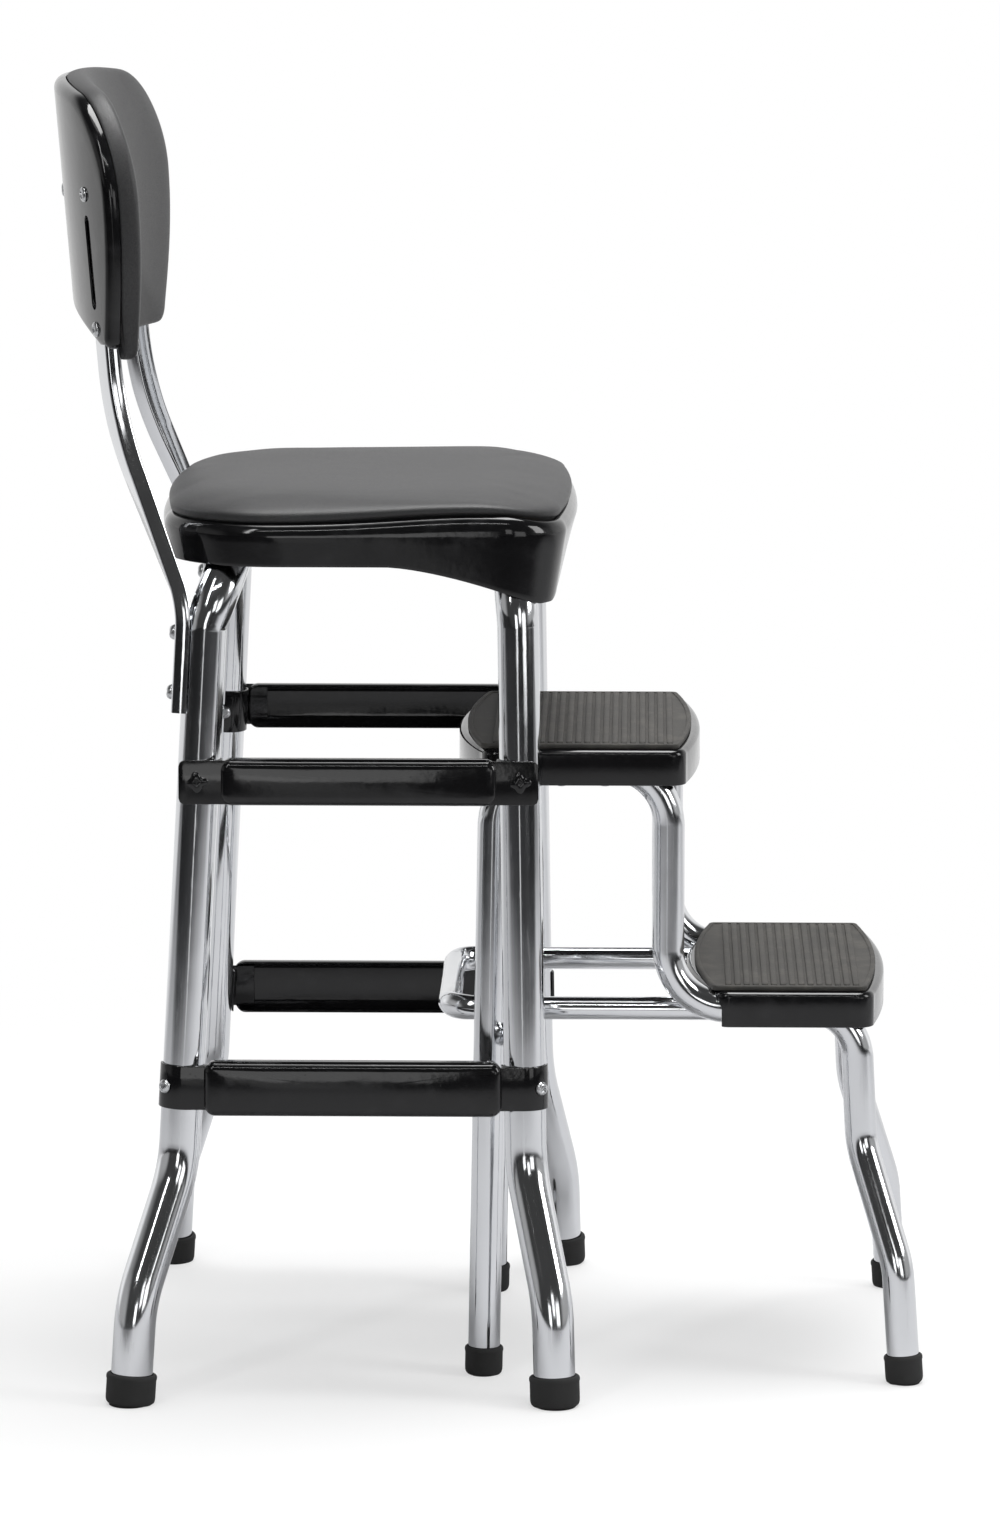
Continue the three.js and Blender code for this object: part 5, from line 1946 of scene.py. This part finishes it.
    def behind_leg(self, side: int) -> Vector:
        """The way back from a leg, square to it."""
        return square_to(self.legs.way(side), Vector((-1, 0, 0)))

    def support(self, side: int) -> Form:
        """One support: a channel from the rear leg up into the shell.

        Args:
            side: -1 right, 1 left.

        Returns:
            The form.
        """
        behind = self.behind_leg(side)
        foot = self.legs.at(self.support_foot, side) + behind * self.standoff
        low = self.legs.at(self.support_bend, side) + behind * self.standoff
        across = side * self.across
        high = self.bent(across, -self.support_drop, self.channel_face)
        top = self.bent(across, self.support_reach, self.channel_face)
        turned = self.rearward(across)
        rings = []
        for station in bent_path([foot, low, high, top], [self.low_radius, self.high_radius],
                                 self.support_step):
            share = unit((station.point.z - low.z) / (high.z - low.z))
            outward = square_to(station.along, behind.lerp(turned, share))
            beside = station.along.cross(outward)
            rings.append([station.point + beside * x - outward * y for x, y in self.section()])
        return loft(rings)

    @property
    def standoff(self) -> float:
        """The supports' rear face, from the middle of the leg."""
        inner = self.support_width / 2 - self.support_sheet
        return math.sqrt((self.legs.radius + GAP) ** 2 - inner ** 2) + self.support_depth

    def build(self) -> None:
        """Makes the shell, the supports, the cushion and their screws."""
        shell = new_object("backrest_shell_pressing", self.shell())
        cutters = [cut(side * self.across) for side, _ in SIDES
                   for cut in (self.slot, self.notch_cutter)]
        carved(shell, cutters)
        smooth(shell, PRESSED_ANGLE)
        dress(shell, Body.CHAIR, ENAMEL, "backrest_shell")
        face = self.pad_rear + self.pad_low * 0.3

        def held(point: Vector) -> bool:
            """True on the cushion's rear face.

            Args:
                point: A point, in metres.

            Returns:
                Whether it is held.
            """
            local = Vector(((point.x - FRONT_FEET) / MM, point.y / MM, point.z / MM))
            here = self.place.inverted() @ local
            radius = math.hypot(here.x - self.curve, here.y)
            return self.curve - radius < face

        pad = stuffed("backrest_cushion_cover", self.pad(), held, self.swell)
        dress(pad, Body.CHAIR, VINYL, "backrest_cushion")
        for side, word in SIDES:
            node = f"{word}_back_support"
            piece(f"{node}_channel", self.support(side), Body.CHAIR, CHROME, node)
            self.fasten(side, word)
        self.shell_screw(0, self.shell_screw_middle, "upper_middle_shell_screw", 0.5,
                         self.board_rear + self.board + GAP)

    def fasten(self, side: int, word: str) -> None:
        """Fits the screws of one support.

        Args:
            side: -1 right, 1 left.
            word: The side in words.
        """
        behind = self.behind_leg(side)
        for place, rise in (("lower", 0.0), ("upper", self.support_screw_spacing)):
            height = self.support_foot + self.support_screw_low + rise
            seat = self.legs.at(height, side) + behind * (self.standoff + GAP)
            self.support_screw.fit(f"{place}_{word}_support_screw", Body.CHAIR, seat, behind,
                                   0.2 + rise * side)
        for place, rise, shank in (
                ("lower", self.shell_screw_low, self.support_depth),
                ("upper", self.shell_screw_high, self.board_rear + self.board + GAP)):
            self.shell_screw(side * self.across, rise, f"{place}_{word}_shell_screw",
                             0.9 * side + rise, shank)

    def shell_screw(self, across: float, rise: float, name: str, turn: float,
                    shank: float) -> None:
        """Fits one screw to the shell."""
        Screw(5.2, 2.2, shank).fit(name, Body.CHAIR, self.bent(across, rise, -GAP),
                                   self.rearward(across), turn)


# Step unit


@dataclass
class Tread:
    """A pressed step pan and the ribbed rubber mat on it."""

    level: str
    rear: float
    front: float
    top: float
    half_width: float = 122
    skirt: float = 24.5
    sheet: float = 1.2
    corner: float = 12
    roll: float = 4
    rear_bow: float = 18
    front_bow: float = 10
    margin: float = 6
    base: float = 2.6
    mat_corner: float = 5
    mat_rear_bow: float = 11
    mat_front_bow: float = 9
    pitch: float = 6.3
    rib_width: float = 4.4
    rib_rise: float = 1.5
    border: float = 6

    def pan(self) -> bpy.types.Object:
        """The pan.

        Returns:
            The object.
        """
        outline = oblong(self.rear, self.front, self.half_width, self.corner, self.corner,
                         self.rear_bow, self.front_bow, 14)
        centre = Vector(((self.rear + self.front) / 2, 0))
        rings = tray(outline, self.roll, self.sheet, self.skirt, centre)
        middle = Vector((centre.x, 0, 0))
        form = loft(rings, middle, middle - UP * self.sheet)
        return new_object(f"{self.level}_step_pan_pressing",
                          form.moved(Matrix.Translation((0, 0, self.top))))

    def mat(self) -> Form:
        """The mat: a soft-edged base and round-topped ribs across it.

        Returns:
            The form.
        """
        rear, front = self.rear + self.margin, self.front - self.margin
        foot = self.top + GAP
        half = self.half_width - self.margin
        outline = oblong(rear, front, half, self.mat_corner, self.mat_corner,
                         self.mat_rear_bow, self.mat_front_bow, 10)
        centre = Vector(((rear + front) / 2, 0))
        rim = self.border - 2.5
        crest = foot + self.base + self.rib_rise * 0.55
        plate = foot + self.base
        rings = [ring(outline, inset, height) for inset, height in (
            (0.2, foot), (0, foot + 0.3), (0, crest - 0.9), (0.25, crest - 0.3), (0.8, crest),
            (rim - 0.9, crest), (rim - 0.3, crest - 0.2), (rim, plate))]
        form = loft(rings, Vector((centre.x, 0, foot)), Vector((centre.x, 0, plate)))
        first = rear + self.mat_rear_bow + self.border
        last = front - self.mat_front_bow - self.border + self.rib_width
        count = max(1, math.floor((last - first) / self.pitch))
        start = (first + last - (count - 1) * self.pitch) / 2
        reach = half - self.border
        for i in range(count):
            form.join(self.rib(start + i * self.pitch, reach, plate))
        return form

    def rib(self, x: float, reach: float, plate: float) -> Form:
        """One rib, across the step.

        Args:
            x: Where it is.
            reach: Half its length.
            plate: The height that it stands on.

        Returns:
            The form.
        """
        half = self.rib_width / 2
        profile = [(-1, -0.4), (-0.97, 0.5), (-0.91, 0.83), (-0.8, 0.98), (0, 1), (0.8, 0.98),
                   (0.91, 0.83), (0.97, 0.5), (1, -0.4)]
        rings = []
        for place, size in ((-1, 0.1), (-0.997, 0.55), (-0.988, 0.92), (-0.975, 1.0),
                            (0.975, 1.0), (0.988, 0.92), (0.997, 0.55), (1, 0.1)):
            rings.append([Vector((x + half * a * min(1, size + 0.4), place * reach,
                                  plate + self.rib_rise * b * size)) for a, b in profile])
        return loft(rings)


@dataclass
class StepUnit:
    """The two bent side frames, the guide tube and the two steps."""

    radius: float = 11.1
    wall: float = 1.2
    half_spread: float = 108.5
    bend: float = 41
    front_bend: float = 36
    knee: float = 60
    rear_foot: tuple = (-51, 12, 0)
    rear_leg: float = -43.5
    riser: float = 76.5
    front_leg: float = 206
    knee_high: tuple = (211, 1.5, 163)
    knee_low: tuple = (236, 26, 82)
    front_foot: tuple = (241.5, 30.5, 0)
    upper_top: float = 440.5
    lower_top: float = 271.5
    sheet: float = 1.2
    guide_radius: float = 8
    guide_height: float = 253.6
    guide_rear: float = -75.8
    guide_front: float = 190
    guide_bend: float = 20
    guide_flat: float = 0.16
    guide_wide: float = 0.12
    sides: int = 36
    upper_reach: tuple = (-27, 22)
    lower_reach: tuple = (13, 23)
    notch_clear: float = 0.8
    notch_rear: float = 5
    notch_front: float = 45
    notch_drop: float = 40
    cap: FootCap = field(default_factory=lambda: FootCap(11.1, 1.7, 20))
    upper_screw: Screw = field(default_factory=lambda: Screw(4.5, 3, 23.7))
    lower_screw: Screw = field(default_factory=lambda: Screw(4.5, 1.5, 23.7))
    upper_screws: tuple = (2.5, 32.5)
    lower_screws: float = 123.6

    def corners(self, side: int) -> list[Vector]:
        """The corners of one side frame, from its rear foot to its front foot.

        Args:
            side: -1 right, 1 left.

        Returns:
            The corners.
        """
        upper = self.upper_top - self.sheet - GAP - self.radius
        lower = self.lower_top - self.sheet - GAP - self.radius
        places = [self.rear_foot, (self.rear_leg, 0, upper), (self.riser, 0, upper),
                  (self.riser, 0, lower), (self.front_leg, 0, lower), self.knee_high,
                  self.knee_low, self.front_foot]
        return [Vector((x, side * (self.half_spread + flare), z)) for x, flare, z in places]

    def side_tube(self, side: int) -> Tube:
        """One side frame's tube.

        Args:
            side: -1 right, 1 left.

        Returns:
            The tube.
        """
        corners = self.corners(side)
        start = corners[0] + (corners[1] - corners[0]).normalized() * self.cap.floor
        end = corners[-1] + (corners[-2] - corners[-1]).normalized() * self.cap.floor
        radii = [self.bend, self.bend, self.bend, self.front_bend, self.knee, self.knee]
        return Tube(bent_path([start, *corners[1:-1], end], radii), self.radius, self.wall,
                    self.sides)

    def guide_tube(self) -> Tube:
        """The guide: a U that runs back between the front legs, pinched at its corners.

        Returns:
            The tube.
        """
        half = self.half_spread - self.radius - GAP - self.guide_radius
        places = [(self.guide_front, half), (self.guide_rear, half), (self.guide_rear, -half),
                  (self.guide_front, -half)]
        corners = [Vector((x, y, self.guide_height)) for x, y in places]
        return Tube(bent_path(corners, [self.guide_bend, self.guide_bend]), self.guide_radius,
                    self.wall, self.sides, self.guide_flat, self.guide_wide)

    def build(self) -> None:
        """Makes the frames, the guide, the steps, the caps and the screws."""
        upper = Tread("upper", self.rear_leg + self.upper_reach[0],
                      self.riser + self.upper_reach[1], self.upper_top)
        lower = Tread("lower", self.riser + self.lower_reach[0],
                      self.front_leg + self.lower_reach[1], self.lower_top)
        piece("guide_tube_rail", self.guide_tube().form(), Body.STEPS, BRIGHT, "guide_tube")
        cutters = []
        for side, word in SIDES:
            node = f"{word}_step_frame"
            piece(f"{node}_tube", self.side_tube(side).form(), Body.STEPS, BRIGHT, node)
            self.fit_caps(side, word)
            self.fasten(side, word)
            cutters.append(self.skirt_notch(side))
        for step in (upper, lower):
            pan = step.pan()
            if step is lower:
                carved(pan, cutters)
            smooth(pan, PRESSED_ANGLE)
            dress(pan, Body.STEPS, ENAMEL, f"{step.level}_step_pan")
            piece(f"{step.level}_tread_mat", step.mat(), Body.STEPS, TREAD,
                  f"{step.level}_tread", angle=PRESSED_ANGLE)

    def skirt_notch(self, side: int) -> Form:
        """The cutter for the opening in the lower pan's rear skirt for a frame and a rail.

        Args:
            side: -1 right, 1 left.

        Returns:
            The form.
        """
        clear = self.notch_clear
        inner = self.half_spread - self.radius - 2 * self.guide_radius - clear
        outer = self.half_spread + self.radius + clear
        top = self.lower_top - self.sheet - GAP + 0.1
        low = self.lower_top - self.notch_drop
        ends = (self.riser + self.notch_rear, self.riser + self.notch_front)
        angles = turns(20, math.pi)
        radius = self.radius + clear
        arch = [(self.half_spread + radius * math.cos(a),
                 top - self.radius + (self.radius - 0.1) * math.sin(a)) for a in angles]
        rail = self.half_spread - self.radius - self.guide_radius
        tops = [(y, z) for y, z in arch if y > rail + self.guide_radius * 0.8]
        tops += [(rail + (self.guide_radius + clear) * math.cos(a),
                  self.guide_height + (self.guide_radius + clear) * math.sin(a))
                 for a in angles[3:]]
        profile = [(outer, low), *tops, (inner, low)]
        rings = [[Vector((x, side * y, z)) for y, z in profile] for x in ends]
        return loft(rings)

    def fit_caps(self, side: int, word: str) -> None:
        """Puts the rubber caps on one side frame.

        Args:
            side: -1 right, 1 left.
            word: The side in words.
        """
        corners = self.corners(side)
        for end, foot, following in (("rear", corners[0], corners[1]),
                                     ("front", corners[-1], corners[-2])):
            self.cap.fit(f"step_{end}_{word}_foot_cap", Body.STEPS, foot, following)

    def fasten(self, side: int, word: str) -> None:
        """Fits the screws that hold the pans on one side frame.

        Args:
            side: -1 right, 1 left.
            word: The side in words.
        """
        corners = self.corners(side)
        rows = [("upper_rear", self.upper_screws[0], corners[2].z, self.upper_screw),
                ("upper_front", self.upper_screws[1], corners[2].z, self.upper_screw),
                ("lower", self.lower_screws, corners[3].z, self.lower_screw)]
        for name, x, z, screw in rows:
            seat = Vector((x, side * self.half_spread, z - self.radius - GAP))
            screw.fit(f"{name}_{word}_pan_screw", Body.STEPS, seat, -UP, x * side)


# Studio


@dataclass
class Studio:
    """The camera, the floor, the lamps and the room around the chair."""

    focal_pixels: float = 6812
    yaw: float = -1.2
    pitch: float = 9.55
    eye: tuple = (57, -4732, 1212)
    sensor: float = 36
    floor_radius: float = 40
    pale: tuple = (0.86, 0.86, 0.86)
    pale_in_chrome: tuple = (0.56, 0.56, 0.57)
    dark: tuple = (0.05, 0.05, 0.052, 1)
    near_white: float = 0.55
    white_beyond: tuple = (0.5, 1.3)
    dark_beyond: tuple = (1.1, 2.6)
    dark_ahead: tuple = (-0.3, -1.3)
    lit_behind: tuple = (0.5, 1.6)
    behind_light: float = 0.8
    band_light: float = 0.7
    aimed_at: tuple = (0, 0, 0.45)
    band_angle: float = math.radians(-6)
    band_half_angle: float = math.radians(2.5)

    def build(self) -> None:
        """Sets the view and makes everything in the studio."""
        scene = bpy.context.scene
        scene.view_settings.view_transform = "Standard"
        self.camera()
        self.floor()
        self.room()
        self.lamps()

    def camera(self) -> None:
        """The camera that took the photograph, as its picture tells."""
        data = bpy.data.cameras.new("camera")
        data.sensor_width = self.sensor
        data.lens = self.sensor * self.focal_pixels / PHOTO_HEIGHT
        data.clip_end = 100
        made = added("camera", data)
        yaw, pitch = math.radians(self.yaw), math.radians(self.pitch)
        forward = Vector((math.sin(yaw) * math.cos(pitch), math.cos(yaw) * math.cos(pitch),
                          -math.sin(pitch)))
        made.location = in_metres(Vector(self.eye))
        aim(made, forward)
        bpy.context.scene.camera = made

    def floor(self) -> None:
        """A pale floor that keeps the shadow and fades to white far off.

        Chrome sees it darker, dark far off in front, with one narrow lit band, and lit behind.
        """
        mesh = bpy.data.meshes.new("studio_floor")
        reach = self.floor_radius
        mesh.from_pydata([(-reach, -reach, 0), (reach, -reach, 0), (reach, reach, 0),
                          (-reach, reach, 0)], [], [(0, 1, 2, 3)])
        made = added("studio_floor", mesh)
        material = bpy.data.materials.new("studio_floor_paint")
        shader = Shader(material)
        radius = shader.node("ShaderNodeVectorMath", {"operation": "LENGTH"},
                             {0: shader.where()}, out="Value")
        seen, gloss = shader.ray("Camera"), shader.ray("Glossy")
        beside, ahead = (shader.axis(shader.where(), name) for name in "XY")
        turn = (beside.math("ARCTAN2", 0 - ahead) - self.band_angle).math("ABSOLUTE")
        band = turn.between(self.band_half_angle * 1.4, self.band_half_angle * 0.6)
        pale = shader.blend(gloss, self.pale, self.pale_in_chrome)
        near = shader.node("ShaderNodeBsdfDiffuse", None, {"Color": pale})
        dark = shader.node("ShaderNodeBsdfDiffuse", None, {"Color": self.dark})
        white = shader.node("ShaderNodeEmission", None, {"Color": (1, 1, 1, 1)})
        far = radius.between(*self.dark_beyond) * ahead.between(*self.dark_ahead)
        lit = seen * (self.near_white + radius.between(*self.white_beyond) * (1 - self.near_white))
        behind = ahead.between(*self.lit_behind) * self.behind_light
        lit = lit + (1 - seen) * gloss * (behind + band * far * self.band_light)
        surface = shader.mixed(lit, shader.mixed(far, near, dark), white)
        shader.node_out("ShaderNodeOutputMaterial", surface)
        mesh.materials.append(material)

    def room(self) -> None:
        """A dark room with a pale backdrop behind the chair, white where the camera looks."""
        world = bpy.data.worlds.new("studio_room")
        bpy.context.scene.world = world
        shader = Shader(world)
        way = shader.node("ShaderNodeTexCoord", out="Generated")
        split = {name: shader.axis(way, name) for name in "XYZ"}
        behind = split["Y"].between(0.15, 0.6)
        low = split["Z"].between(0.75, 0.35)
        overhead = split["Z"].between(0.93, 0.97)
        beside = split["X"].math("ABSOLUTE").between(0.75, 0.92) * split["Z"].between(0.7, 0.2)
        level = 0.05 + behind * low * 0.85 + overhead * 1.6 + beside * 0.35
        seen = shader.ray("Camera")
        strength = seen + (1 - seen) * level
        surface = shader.node("ShaderNodeBackground", None,
                              {"Color": (1, 1, 1, 1), "Strength": strength})
        shader.node_out("ShaderNodeOutputWorld", surface)

    def lamps(self) -> None:
        """A key lamp, a thin strip, three low lamps by the camera, a fill and a top lamp."""
        rows = [("key_lamp", (-1.5, -2.3, 2.5), (0.25, 1.9), 15.0),
                ("strip_lamp", (-0.2, -2.9, 2.9), (2.2, 0.07), 11.0),
                ("low_lamp", (-0.6, -4.95, 0.6), (1.0, 1.0), 6.0),
                ("side_lamp", (1.2, -5.0, 1.3), (1.0, 1.2), 7.0),
                ("far_side_lamp", (2.8, -4.2, 0.8), (1.6, 1.2), 10.0),
                ("fill_lamp", (2.7, -0.9, 1.7), (1.0, 1.6), 34.0),
                ("top_lamp", (0.2, 0.3, 3.0), (1.6, 1.6), 84.0)]
        for name, place, size, power in rows:
            data = bpy.data.lights.new(name, "AREA")
            data.shape = "RECTANGLE"
            data.size, data.size_y = size
            data.energy = power
            made = added(name, data)
            made.location = place
            aim(made, Vector(self.aimed_at) - Vector(place))


def dress_nodes() -> None:
    """Gives the nodes that stay, the two boards, their finish."""
    for name in ("seat_board", "back_board"):
        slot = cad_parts[name].material_slots[0]
        slot.link = "OBJECT"
        slot.material = WOOD.material()
        log.info("%s: kept, %s", name, WOOD.name)


def main() -> None:
    """Builds the chair, its steps and the studio."""
    logging.basicConfig(level=logging.INFO, format="%(message)s")
    Studio().build()
    front, rear = front_loop(), rear_loop()
    seat = Seat()
    front.build()
    rear.build()
    CrossBar(front).build()
    Brace("upper", 425, True, front, rear).build()
    Brace("lower", 214, False, front, rear, bulge=5, dome=1.8, extra=3).build()
    seat.build(front, rear)
    Backrest(seat, rear).build()
    StepUnit().build()
    dress_nodes()


if __name__ == "__main__":
    main()
